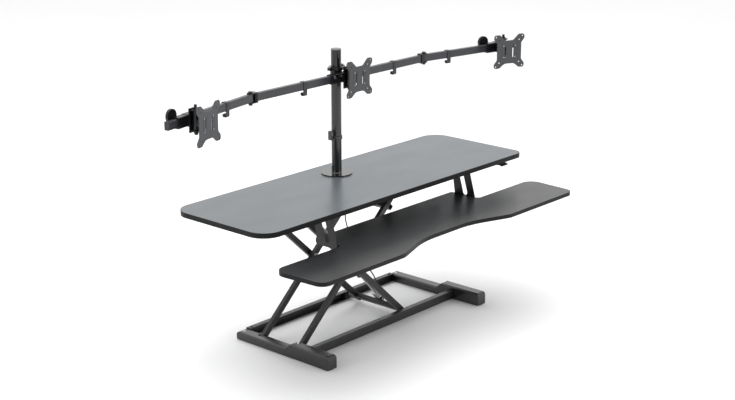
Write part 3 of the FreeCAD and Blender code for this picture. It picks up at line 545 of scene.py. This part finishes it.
def turned(name: str, profile: Sequence[tuple[float, float]], at: Vector, axis: Vector,
           finish: Finish, steps: int = 40) -> bpy.types.Object:
    """Closed piece turned from a profile about an axis.

    Args:
        name: the piece's name.
        profile: (radius, height) pairs in metres, closed through the axis or as a ring.
        at: the profile's origin.
        axis: the turning axis.
        finish: its finish.
        steps: sides of the turned piece.

    Returns:
        The new object.
    """
    work = bmesh.new()
    rings = []
    for radius, height in profile:
        if radius < 1e-7:
            rings.append([work.verts.new((0, 0, height))])
        else:
            angles = [2 * math.pi * i / steps for i in range(steps)]
            rings.append([work.verts.new((radius * math.cos(angle), radius * math.sin(angle),
                                          height)) for angle in angles])
    hollow = all(len(loop) > 1 for loop in rings)
    pairs = list(zip(rings, rings[1:] + rings[:1])) if hollow else list(zip(rings, rings[1:]))
    for first, second in pairs:
        for i in range(steps):
            j = (i + 1) % steps
            corners = [first[i % len(first)], first[j % len(first)], second[j % len(second)],
                       second[i % len(second)]]
            unique = list(dict.fromkeys(corners))
            if len(unique) > 2:
                work.faces.new(unique)
    bmesh.ops.recalc_face_normals(work, faces=work.faces)
    work.transform(Matrix.Translation(at) @ facing(axis))
    mesh = bpy.data.meshes.new(name)
    work.to_mesh(mesh)
    work.free()
    smooth(mesh)
    return mesh_object(name, mesh, finish)


class GeometryTree(NodeBench):
    """A Geometry Nodes tree under construction, with named inputs."""

    def __init__(self, name: str, sizes: dict[str, float], counts: dict[str, int]) -> None:
        """Start a tree.

        Args:
            name: the tree's name.
            sizes: its length inputs and their values in metres.
            counts: its whole-number inputs and their values.
        """
        self.tree = bpy.data.node_groups.new(name, "GeometryNodeTree")
        face = self.tree.interface
        face.new_socket("Geometry", in_out="INPUT", socket_type="NodeSocketGeometry")
        face.new_socket("Geometry", in_out="OUTPUT", socket_type="NodeSocketGeometry")
        self.values: dict[str, float | int] = {}
        for label, value in sizes.items():
            socket = face.new_socket(label, in_out="INPUT", socket_type="NodeSocketFloat")
            self.values[socket.identifier] = value
        for label, count in counts.items():
            socket = face.new_socket(label, in_out="INPUT", socket_type="NodeSocketInt")
            self.values[socket.identifier] = count
        self.start = self.add("NodeGroupInput")
        self.end = self.add("NodeGroupOutput")

    def given(self, label: str) -> bpy.types.NodeSocket:
        """The tree's own input of that name."""
        return self.start.outputs[label]

    def on_points(self, shape: bpy.types.NodeSocket, material: bpy.types.Material) -> None:
        """End the tree: the shape on every point, turned to the point's "facing".

        Args:
            shape: geometry of one piece.
            material: its material.
        """
        towards = self.add("GeometryNodeInputNamedAttribute", data_type="FLOAT_VECTOR")
        towards.inputs["Name"].default_value = "facing"
        align = self.add("FunctionNodeAlignRotationToVector", axis="Z")
        self.join(towards.outputs["Attribute"], align.inputs["Vector"])
        copies = self.add("GeometryNodeInstanceOnPoints")
        self.join(self.given("Geometry"), copies.inputs["Points"])
        self.join(shape, copies.inputs["Instance"])
        self.join(align.outputs["Rotation"], copies.inputs["Rotation"])
        real = self.add("GeometryNodeRealizeInstances")
        self.join(copies.outputs["Instances"], real.inputs["Geometry"])
        dress = self.add("GeometryNodeSetMaterial")
        dress.inputs["Material"].default_value = material
        self.join(real.outputs["Geometry"], dress.inputs["Geometry"])
        self.join(dress.outputs["Geometry"], self.end.inputs["Geometry"])

    def grow(self, name: str, points: Sequence[tuple[Vector, Vector]],
             finish: Finish) -> bpy.types.Object:
        """Run the tree on points and keep the result as a plain mesh.

        Args:
            name: the piece's name.
            points: (position, direction) pairs.
            finish: its finish.

        Returns:
            The new object, with no modifier.
        """
        mesh = bpy.data.meshes.new(name + "_points")
        mesh.from_pydata([tuple(at) for at, _ in points], [], [])
        towards = mesh.attributes.new("facing", "FLOAT_VECTOR", "POINT")
        for item, (_, axis) in zip(towards.data, points):
            item.vector = tuple(axis)
        host = bpy.data.objects.new(name + "_host", mesh)
        bpy.context.scene.collection.objects.link(host)
        modifier = host.modifiers.new("grow", "NODES")
        modifier.node_group = self.tree
        for identifier, value in self.values.items():
            modifier[identifier] = value
        ready = host.evaluated_get(bpy.context.evaluated_depsgraph_get())
        grown = bpy.data.meshes.new_from_object(ready)
        bpy.data.objects.remove(host)
        smooth(grown)
        return mesh_object(name, grown, finish)


class Drive(Enum):
    """Shape of the recess in a fastener's head."""

    HEX_KEY = 6
    SQUARE = 4
    ROUND = 20


@dataclass(frozen=True)
class Fastener:
    """Screw or bolt head with a bevelled rim and a recess."""

    radius: float
    height: float
    drive: Drive = Drive.HEX_KEY
    sides: int = 28
    recess_width: float = 0.5
    recess_depth: float = 0.6
    recess_lift: float = 0.55
    rim_height: float = 0.18
    rim_width: float = 0.86

    def grow(self, name: str, points: Sequence[tuple[Vector, Vector]],
             finish: Finish) -> bpy.types.Object:
        """Put a head on each point, standing along its direction.

        Args:
            name: the piece's name.
            points: (position, direction) pairs.
            finish: its finish.

        Returns:
            The new object.
        """
        tree = GeometryTree(name + "_tree", {
            "Head Radius": self.radius, "Head Height": self.height,
            "Recess Radius": self.radius * self.recess_width,
            "Recess Depth": self.height * self.recess_depth},
            {"Head Sides": self.sides, "Recess Sides": self.drive.value})
        body = tree.add("GeometryNodeMeshCylinder", fill_type="NGON")
        tree.join(tree.given("Head Sides"), body.inputs["Vertices"])
        tree.join(tree.given("Head Radius"), body.inputs["Radius"])
        tree.join(tree.given("Head Height"), body.inputs["Depth"])
        rim = tree.add("GeometryNodeScaleElements", domain="FACE")
        lift = tree.add("GeometryNodeExtrudeMesh", mode="FACES")
        lift.inputs["Individual"].default_value = False
        lift.inputs["Offset Scale"].default_value = self.height * self.rim_height
        rim.inputs["Scale"].default_value = self.rim_width
        tree.join(body.outputs["Mesh"], lift.inputs["Mesh"])
        tree.join(body.outputs["Top"], lift.inputs["Selection"])
        tree.join(lift.outputs["Mesh"], rim.inputs["Geometry"])
        tree.join(lift.outputs["Top"], rim.inputs["Selection"])
        tool = tree.add("GeometryNodeMeshCylinder", fill_type="NGON")
        tree.join(tree.given("Recess Sides"), tool.inputs["Vertices"])
        tree.join(tree.given("Recess Radius"), tool.inputs["Radius"])
        tree.join(tree.given("Recess Depth"), tool.inputs["Depth"])
        place = tree.add("GeometryNodeTransform")
        place.inputs["Translation"].default_value = (0, 0, self.height * self.recess_lift)
        tree.join(tool.outputs["Mesh"], place.inputs["Geometry"])
        bored = tree.add("GeometryNodeMeshBoolean", operation="DIFFERENCE")
        tree.join(rim.outputs["Geometry"], bored.inputs["Mesh 1"])
        tree.join(place.outputs["Geometry"], bored.inputs["Mesh 2"])
        up = tree.add("GeometryNodeTransform")
        up.inputs["Translation"].default_value = (0, 0, self.height / 2)
        tree.join(bored.outputs["Mesh"], up.inputs["Geometry"])
        tree.on_points(up.outputs["Geometry"], WARDROBE.material(finish))
        return tree.grow(name, points, finish)


@dataclass(frozen=True)
class RoundRing:
    """Ring of round wire or a washer with a rounded section."""

    radius: float
    section: float

    def grow(self, name: str, points: Sequence[tuple[Vector, Vector]],
             finish: Finish) -> bpy.types.Object:
        """Put a ring round each point.

        Args:
            name: the piece's name.
            points: (position, direction) pairs.
            finish: its finish.

        Returns:
            The new object.
        """
        tree = GeometryTree(name + "_tree", {"Ring Radius": self.radius,
                                             "Section Radius": self.section},
                            {"Ring Steps": 40, "Section Steps": 10})
        path = tree.add("GeometryNodeCurvePrimitiveCircle")
        tree.join(tree.given("Ring Steps"), path.inputs["Resolution"])
        tree.join(tree.given("Ring Radius"), path.inputs["Radius"])
        section = tree.add("GeometryNodeCurvePrimitiveCircle")
        tree.join(tree.given("Section Steps"), section.inputs["Resolution"])
        tree.join(tree.given("Section Radius"), section.inputs["Radius"])
        swept = tree.add("GeometryNodeCurveToMesh")
        tree.join(path.outputs["Curve"], swept.inputs["Curve"])
        tree.join(section.outputs["Curve"], swept.inputs["Profile Curve"])
        tree.on_points(swept.outputs["Mesh"], WARDROBE.material(finish))
        return tree.grow(name, points, finish)


@dataclass(frozen=True)
class Rib:
    """Short rounded bar lying across its point's direction."""

    length: float
    radius: float

    def grow(self, name: str, points: Sequence[tuple[Vector, Vector]],
             finish: Finish) -> bpy.types.Object:
        """Put a rib on each point.

        Args:
            name: the piece's name.
            points: (position, direction) pairs.
            finish: its finish.

        Returns:
            The new object.
        """
        tree = GeometryTree(name + "_tree", {"Rib Length": self.length,
                                             "Rib Radius": self.radius}, {"Rib Steps": 12})
        half = tree.add("ShaderNodeCombineXYZ")
        tree.join(tree.given("Rib Length"), half.inputs["X"])
        line = tree.add("GeometryNodeCurvePrimitiveLine", mode="POINTS")
        tree.join(half.outputs["Vector"], line.inputs["End"])
        section = tree.add("GeometryNodeCurvePrimitiveCircle")
        tree.join(tree.given("Rib Steps"), section.inputs["Resolution"])
        tree.join(tree.given("Rib Radius"), section.inputs["Radius"])
        swept = tree.add("GeometryNodeCurveToMesh")
        swept.inputs["Fill Caps"].default_value = True
        tree.join(line.outputs["Curve"], swept.inputs["Curve"])
        tree.join(section.outputs["Curve"], swept.inputs["Profile Curve"])
        centred = tree.add("GeometryNodeTransform")
        centred.inputs["Translation"].default_value = (-self.length / 2, 0, 0)
        tree.join(swept.outputs["Mesh"], centred.inputs["Geometry"])
        tree.on_points(centred.outputs["Geometry"], WARDROBE.material(finish))
        return tree.grow(name, points, finish)


# ------------------------------------------------------------------ sub-assemblies


@dataclass
class BaseFrame:
    """Two moulded feet joined by crossbars, with the fixed pivots of the arms."""

    covers: tuple[str, ...] = ("left_foot", "right_foot")
    bars: tuple[str, ...] = ("front_crossbar", "rear_crossbar")
    screw_inset: float = 14 * MM
    screw_head: Fastener = Fastener(4.2 * MM, 1.6 * MM)

    def build(self) -> None:
        """Dress the base and add its small parts."""
        WARDROBE.dress(PALETTE.cover, self.covers)
        WARDROBE.dress(PALETTE.bar_coat, self.bars)
        WARDROBE.dress(PALETTE.frame_coat, ["lower_pivot_brackets"])
        WARDROBE.dress(PALETTE.zinc, ["foot_screws", "lower_pivot_pins"])
        WARDROBE.dress(PALETTE.rubber, ["foot_pads"])
        self.add_bar_screws()

    def add_bar_screws(self) -> None:
        """Screws that hold each crossbar's end to its foot."""
        points = []
        for bar in self.bars:
            low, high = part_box(bar)
            for x in (low.x + self.screw_inset, high.x - self.screw_inset):
                points.append((Vector((x, (low.y + high.y) / 2, high.z)), Vector((0, 0, 1))))
        screws = self.screw_head.grow("crossbar_screws", points, PALETTE.frame_coat)
        seat(screws, "base")


@dataclass
class ScissorArms:
    """Two crossed pairs of arms, their pins and sliding shoes."""

    bush_rim: RoundRing = RoundRing(5.4 * MM, 0.45 * MM)

    def build(self) -> None:
        """Dress the arms and put a washer on both faces at each pivot."""
        arms = [f"{kind}_arm_{end}" for kind in ("inner", "outer") for end in ("front", "rear")]
        WARDROBE.dress(PALETTE.arm_coat, arms + ["inner_arm_tie", "outer_arm_tie"])
        WARDROBE.dress(PALETTE.zinc, ["inner_arm_pins", "outer_arm_pins"])
        WARDROBE.dress(PALETTE.nylon, ["lower_slide_shoes", "upper_slide_shoes"])
        for kind, pivots in (("inner", ("lift", "upper_shoe_pivot")),
                             ("outer", ("top_pivot", "lower_shoe_pivot"))):
            self.add_washers(kind, [Vector(joint_named(name)["pos_m"]) for name in pivots])

    def add_washers(self, kind: str, pivots: Sequence[Vector]) -> None:
        """Bush rims on the arms' faces.

        Args:
            kind: "inner" or "outer".
            pivots: points on the pivots' axes.
        """
        points = []
        for end in ("front", "rear"):
            low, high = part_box(f"{kind}_arm_{end}")
            for pivot in pivots:
                for y in (low.y, high.y):
                    points.append((Vector((pivot.x, y, pivot.z)), Vector((0, 1, 0))))
        rims = self.bush_rim.grow(f"{kind}_arm_bush_rims", points, PALETTE.nylon)
        seat(rims, f"{kind}_arms")


@dataclass
class GasSpring:
    """Lockable gas spring with its release head and cable."""

    mouth_at: float = 392 * MM
    boot_up: float = 26 * MM
    boot_out: float = 13 * MM
    cable_in_boot: float = 2 * MM
    sheath_radius: float = 2.0 * MM
    route: tuple[Triple, ...] = (
        (90, 116, 108), (60, 116, 152), (-10, 114, 248), (-48, 112, 320), (-62, 104, 372),
        (-52, 84, 412), (-12, 50, 421), (36, 14, 430), (100, 0, 443), (220, -2, 443),
        (340, -3, 443), (420, 0, 443), (470, 5, 442), (496, 1, 441), (504, -21, 440))

    def build(self) -> None:
        """Dress the spring and make its rings, boot and cable."""
        WARDROBE.dress(PALETTE.spring_gloss, ["gas_spring_cylinder"])
        WARDROBE.dress(PALETTE.polished, ["gas_spring_rod"])
        WARDROBE.dress(PALETTE.cast_alloy, ["release_head"])
        top = Vector(joint_named("spring_upper_pivot")["pos_m"])
        low = Vector(joint_named("spring_lower_pivot")["pos_m"])
        way = (low - top).normalized()
        self.add_gland(top, way)
        start = self.add_boot(low, way)
        self.add_cable(start)

    def add_gland(self, top: Vector, way: Vector) -> None:
        """Rolled end and rod seal at the cylinder's mouth.

        Args:
            top: upper pivot.
            way: direction down the spring.
        """
        mouth = top + way * self.mouth_at
        profile = [(7.5 * MM, -6 * MM), (11.3 * MM, -6 * MM), (11.6 * MM, -3 * MM),
                   (11.3 * MM, 0.0), (10 * MM, 1.6 * MM), (7.5 * MM, 1.8 * MM)]
        seat(turned("spring_rolled_end", profile, mouth, way, PALETTE.spring_gloss),
             "spring_cylinder")

    def add_boot(self, low: Vector, way: Vector) -> Vector:
        """Moulded boot where the cable leaves the release head.

        Args:
            low: lower pivot.
            way: direction down the spring.

        Returns:
            The point where the cable starts.
        """
        across = Vector((-way.z, 0, way.x))
        foot = low - way * self.boot_up + across * self.boot_out
        profile = [(0.0, 0.0), (4.2 * MM, 0.0), (4.4 * MM, 2 * MM), (3.2 * MM, 3.4 * MM),
                   (3.4 * MM, 5 * MM), (2.6 * MM, 7 * MM), (0.0, 7 * MM)]
        seat(turned("cable_boot", profile, foot, across, PALETTE.lever_plastic, 28), "spring_rod")
        return foot + across * self.cable_in_boot

    def add_cable(self, start: Vector) -> None:
        """Sheathed cable from the release head to the lever.

        Args:
            start: where it leaves the boot.
        """
        curve = bpy.data.curves.new("release_cable_sheath", "CURVE")
        curve.dimensions = "3D"
        curve.bevel_depth = self.sheath_radius
        curve.bevel_resolution = 5
        curve.use_fill_caps = True
        curve.resolution_u = 14
        spline = curve.splines.new("BEZIER")
        points = [start] + [Vector(point) * MM for point in self.route]
        spline.bezier_points.add(len(points) - 1)
        for knot, at in zip(spline.bezier_points, points):
            knot.co = at
            knot.handle_left_type = knot.handle_right_type = "AUTO"
        host = bpy.data.objects.new("cable_host", curve)
        bpy.context.scene.collection.objects.link(host)
        ready = host.evaluated_get(bpy.context.evaluated_depsgraph_get())
        mesh = bpy.data.meshes.new_from_object(ready)
        bpy.data.objects.remove(host)
        cable = mesh_object("release_cable_sheath", mesh, PALETTE.sheath)
        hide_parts("release_cable")
        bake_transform(cable)
        LOG.info("%-26s bends between outer_arms and top", cable.name)


@dataclass
class Desktop:
    """Desktop board, its edge, rails, lugs and screws."""

    screw_head: Fastener = Fastener(4.0 * MM, 1.4 * MM, Drive.SQUARE)
    rail_pitch: float = 86 * MM
    rail_end: float = 20 * MM
    rail_inset: float = 9 * MM
    bracket_sheet: float = 2.5 * MM
    bracket_inset: float = 18 * MM
    bracket_rows: tuple[float, ...] = (-66 * MM, -43 * MM, -20 * MM)

    def build(self) -> None:
        """Dress the boards and the top frame, and add the screws under them."""
        WARDROBE.dress(PALETTE.laminate, ["desktop_board"])
        WARDROBE.dress(PALETTE.tray_laminate, ["tray_board"])
        WARDROBE.dress(PALETTE.edging, ["edge_bands"])
        WARDROBE.dress(PALETTE.frame_coat, ["top_rails", "top_frame_lugs", "tray_brackets"])
        WARDROBE.dress(PALETTE.zinc, ["top_frame_pins", "tray_screws"])
        self.add_rail_screws()
        self.add_flange_screws()

    def add_rail_screws(self) -> None:
        """Screws through the rails' lower flanges."""
        low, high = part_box("top_rails")
        start = low.x + self.rail_end
        count = int((high.x - low.x - 2 * self.rail_end) // self.rail_pitch) + 1
        points = [(Vector((start + i * self.rail_pitch, y, low.z)), Vector((0, 0, -1)))
                  for i in range(count)
                  for y in (low.y + self.rail_inset, high.y - self.rail_inset)]
        screws = self.screw_head.grow("rail_screws", points, PALETTE.zinc)
        seat(screws, "top")

    def add_flange_screws(self) -> None:
        """Screws through the tray brackets' upper flanges."""
        low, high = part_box("tray_brackets")
        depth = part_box("desktop_board")[0].z - self.bracket_sheet
        points = [(Vector((x, y, depth)), Vector((0, 0, -1)))
                  for x in (low.x + self.bracket_inset, high.x - self.bracket_inset)
                  for y in self.bracket_rows]
        screws = self.screw_head.grow("bracket_flange_screws", points, PALETTE.zinc)
        seat(screws, "top")


@dataclass
class ReleaseLever:
    """Squeeze lever under the right of the desktop."""

    ribs: int = 7
    rib_pitch: float = 5.0 * MM
    rib_radius: float = 0.7 * MM
    rib_share: float = 0.8
    first_rib: float = 12 * MM
    slope_from: float = 11 * MM
    slope_length: float = 28 * MM
    slope_drop: float = 3.0 * MM
    grip_bottom: float = 438.5 * MM

    def build(self) -> None:
        """Dress the lever and its housing, and add the grip ribs."""
        WARDROBE.dress(PALETTE.lever_plastic, ["release_lever"])
        WARDROBE.dress(PALETTE.frame_coat, ["lever_housing"])
        low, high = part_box("release_lever")
        x = (low.x + high.x) / 2
        points = []
        for i in range(self.ribs):
            y = low.y + self.first_rib + i * self.rib_pitch
            share = (y - low.y - self.slope_from) / self.slope_length
            z = self.grip_bottom - self.slope_drop * min(1.0, max(0.0, share))
            points.append((Vector((x, y, z)), Vector((0, 0, -1))))
        shape = Rib((high.x - low.x) * self.rib_share, self.rib_radius)
        ribs = shape.grow("lever_grip_ribs", points, PALETTE.lever_plastic)
        seat(ribs, "lever")


@dataclass
class Pole:
    """Upright pole with its disc, cap and cable clip."""

    radius: float = 16 * MM

    def build(self) -> None:
        """Dress the pole and add the ring at its foot."""
        WARDROBE.dress(PALETTE.pole_gloss, ["pole", "pole_base_disc"])
        WARDROBE.dress(PALETTE.grey_moulding, ["pole_cap"])
        WARDROBE.dress(PALETTE.cover, ["pole_cable_clip"])
        WARDROBE.dress(PALETTE.zinc, ["pole_fixing_bolt"])
        foot = middle("pole_base_disc")
        foot.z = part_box("pole_base_disc")[1].z
        profile = [(self.radius, 0.0), (self.radius + 2.4 * MM, 0.0),
                   (self.radius + 1.2 * MM, 0.9 * MM), (self.radius + 0.1 * MM, 2.4 * MM),
                   (self.radius, 2.6 * MM)]
        seat(turned("pole_foot_weld", profile, foot, Vector((0, 0, 1)), PALETTE.pole_gloss, 64),
             "top")


@dataclass
class MonitorBeam:
    """Collar, crossing tubes, hinges and clips that carry the monitor heads."""

    clamp_screw: Fastener = Fastener(4.5 * MM, 4 * MM)
    ear_middle: float = 6.5 * MM
    hinge_cap: Fastener = Fastener(5.6 * MM, 1.8 * MM)

    def build(self) -> None:
        """Dress the beam and add its bolt heads."""
        sides = ("left", "right")
        WARDROBE.dress(PALETTE.mount_black, ["pole_collar", "centre_bracket", "hinge_forks",
                                             "hinge_bolts"])
        WARDROBE.dress(PALETTE.tube_slate, ["inner_tubes"] + [f"{s}_outer_tube" for s in sides])
        WARDROBE.dress(PALETTE.clip_moulding,
                       ["inner_tube_clips"] + [f"{s}_tube_trim" for s in sides])
        WARDROBE.dress(PALETTE.zinc, ["bracket_bolts"])
        self.add_collar_screws()
        self.add_hinge_caps()

    def add_collar_screws(self) -> None:
        """Clamp screws in the collar's ears."""
        low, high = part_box("pole_collar")
        y = (low.y + high.y) / 2
        points = [(Vector((x, y, high.z)), Vector((0, 0, 1)))
                  for x in (low.x + self.ear_middle, high.x - self.ear_middle)]
        screws = self.clamp_screw.grow("collar_clamp_screws", points, PALETTE.zinc)
        seat(screws, "mount_beam")

    def add_hinge_caps(self) -> None:
        """Round covers on the hinge bolts."""
        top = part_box("hinge_bolts")[1].z
        points = []
        for side in ("left", "right"):
            pivot = Vector(joint_named(f"{side}_arm_swing")["pos_m"])
            points.append((Vector((pivot.x, pivot.y, top)), Vector((0, 0, 1))))
        caps = self.hinge_cap.grow("hinge_bolt_caps", points, PALETTE.zinc)
        seat(caps, "mount_beam")


@dataclass
class MonitorHead:
    """Carriage, swivel, tilt head and square-pattern plate of one monitor."""

    side: str
    tilt_bolt: Fastener = Fastener(5.4 * MM, 3 * MM)
    tilt_half_width: float = 11.5 * MM
    rivet: Fastener = Fastener(2.2 * MM, 0.9 * MM, Drive.ROUND, 18)
    rivet_half_pitch: tuple[float, float] = (22 * MM, 19 * MM)
    line_across: float = 27 * MM
    line_sunk: float = 0.3 * MM
    line_steps: int = 12
    pin_cap: Fastener = Fastener(4.6 * MM, 2.4 * MM, Drive.ROUND)

    def build(self) -> None:
        """Dress one head and add the fasteners that hold its plate and tilt."""
        side = self.side
        WARDROBE.dress(PALETTE.mount_black, [f"{side}_carriage", f"{side}_swivel_knuckle",
                                             f"{side}_tilt_head"])
        WARDROBE.dress(PALETTE.plate_grey, [f"{side}_vesa_plate"])
        self.add_plate_details()
        tilt = joint_named(f"{side}_tilt_turn")
        across = Vector(tilt["axis"])
        pivot = Vector(tilt["pos_m"])
        points = [(pivot + across * way * self.tilt_half_width, across * way)
                  for way in (-1, 1)]
        heads = self.tilt_bolt.grow(f"{side}_tilt_bolt_heads", points, PALETTE.mount_black)
        seat(heads, f"{side}_tilt")
        self.add_swivel_screws()

    def add_plate_details(self) -> None:
        """Rivets that hold the cup behind the plate, and the pressed line beside each slot."""
        turn = joint_named(f"{self.side}_plate_turn")
        ahead = Vector(turn["axis"])
        front = Vector(turn["pos_m"])
        along = ahead.cross(Vector((0, 0, 1)))
        rise = Vector((0, 0, 1))
        wide, tall = self.rivet_half_pitch
        rivets = [(front + along * x + rise * z, ahead)
                  for x in (-wide, wide) for z in (-tall, tall)]
        heads = self.rivet.grow(f"{self.side}_plate_rivets", rivets, PALETTE.zinc)
        seat(heads, f"{self.side}_plate")
        end = [(0.9 * MM, 17 * MM), (0.5 * MM, 18.6 * MM), (0.0, 19 * MM)]
        profile = [(radius, -height) for radius, height in reversed(end)] + end
        for hand, x in (("right", -self.line_across), ("left", self.line_across)):
            foot = front + along * x - ahead * self.line_sunk
            line = turned(f"{self.side}_pressed_line_{hand}", profile, foot, rise,
                          PALETTE.plate_grey, self.line_steps)
            seat(line, f"{self.side}_plate")

    def add_swivel_screws(self) -> None:
        """Caps on both ends of the swivel pin."""
        low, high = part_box(f"{self.side}_swivel_knuckle")
        pivot = Vector(joint_named(f"{self.side}_swivel_turn")["pos_m"])
        points = [(Vector((pivot.x, pivot.y, high.z)), Vector((0, 0, 1))),
                  (Vector((pivot.x, pivot.y, low.z)), Vector((0, 0, -1)))]
        caps = self.pin_cap.grow(f"{self.side}_swivel_pin_caps", points, PALETTE.mount_black)
        seat(caps, f"{self.side}_swivel")


# ------------------------------------------------------------------ studio


@dataclass
class Studio:
    """Pale floor, soft light and the camera."""

    target: Triple = (0.1310, 0.1862, 0.350)
    azimuth: float = -48.438
    pitch: float = 16.756
    distance: float = 4.8587
    lens: float = 74.02
    lamps: tuple[tuple[str, Triple, float, float], ...] = (
        ("overhead", (0.3, 0.3, 3.8), 5.0, 90.0),
        ("left_strip", (-3.4, 0.6, 1.5), 0.8, 16.0),
        ("right_strip", (0.9, -3.2, 1.5), 0.8, 16.0))
    floor_half: float = 30.0
    bright_side: Triple = (0.55, 0.49, 0.68)
    fade_between: tuple[float, float] = (-0.6, 0.62)
    strengths: tuple[float, float] = (0.30, 1.2)

    def build(self) -> None:
        """Make the floor, lights and camera."""
        self.add_floor()
        self.add_light()
        self.add_camera()

    def add_floor(self) -> None:
        """Large pale floor at the height that the feet stand on."""
        mesh = bpy.data.meshes.new("floor")
        size = self.floor_half
        mesh.from_pydata([(-size, -size, 0), (size, -size, 0), (size, size, 0),
                          (-size, size, 0)], [], [(0, 1, 2, 3)])
        mesh_object("floor", mesh, PALETTE.floor)

    def add_light(self) -> None:
        """White surroundings and broad lamps."""
        world = bpy.data.worlds.new("studio")
        world.use_nodes = True
        nodes, links = world.node_tree.nodes, world.node_tree.links
        back = nodes["Background"]
        back.inputs["Color"].default_value = (1.0, 1.0, 1.0, 1.0)
        place = nodes.new("ShaderNodeTexCoord")
        side = nodes.new("ShaderNodeVectorMath")
        side.operation = "DOT_PRODUCT"
        side.inputs[1].default_value = self.bright_side
        fade = nodes.new("ShaderNodeMapRange")
        fade.interpolation_type = "SMOOTHSTEP"
        for key, value in zip(("From Min", "From Max", "To Min", "To Max"),
                              (*self.fade_between, *self.strengths)):
            fade.inputs[key].default_value = value
        links.new(place.outputs["Generated"], side.inputs[0])
        links.new(side.outputs["Value"], fade.inputs["Value"])
        links.new(fade.outputs["Result"], back.inputs["Strength"])
        bpy.context.scene.world = world
        bpy.context.scene.view_settings.view_transform = "Standard"
        aim = Vector(self.target)
        for name, at, size, power in self.lamps:
            light = bpy.data.lights.new(name, "AREA")
            light.shape = "DISK"
            light.size = size
            light.energy = power
            lamp = bpy.data.objects.new(name, light)
            lamp.location = at
            lamp.rotation_euler = (aim - Vector(at)).to_track_quat("-Z", "Y").to_euler()
            bpy.context.scene.collection.objects.link(lamp)

    def add_camera(self) -> None:
        """Camera at the product's three-quarter view."""
        turn, dip = math.radians(self.azimuth), math.radians(self.pitch)
        back = Vector((math.sin(turn) * math.cos(dip), -math.cos(turn) * math.cos(dip),
                       math.sin(dip)))
        camera = bpy.data.objects.new("camera", bpy.data.cameras.new("camera"))
        camera.data.lens = self.lens
        camera.data.sensor_width = 36.0
        camera.data.clip_end = 200.0
        camera.location = Vector(self.target) + back * self.distance
        camera.rotation_euler = (-back).to_track_quat("-Z", "Y").to_euler()
        bpy.context.scene.collection.objects.link(camera)
        bpy.context.scene.camera = camera


def main() -> None:
    """Build every sub-assembly in order."""
    logging.basicConfig(level=logging.INFO, format="%(message)s")
    BaseFrame().build()
    ScissorArms().build()
    GasSpring().build()
    Desktop().build()
    ReleaseLever().build()
    Pole().build()
    MonitorBeam().build()
    for side in ("left", "centre", "right"):
        MonitorHead(side).build()
    Studio().build()


if __name__ == "__main__":
    main()
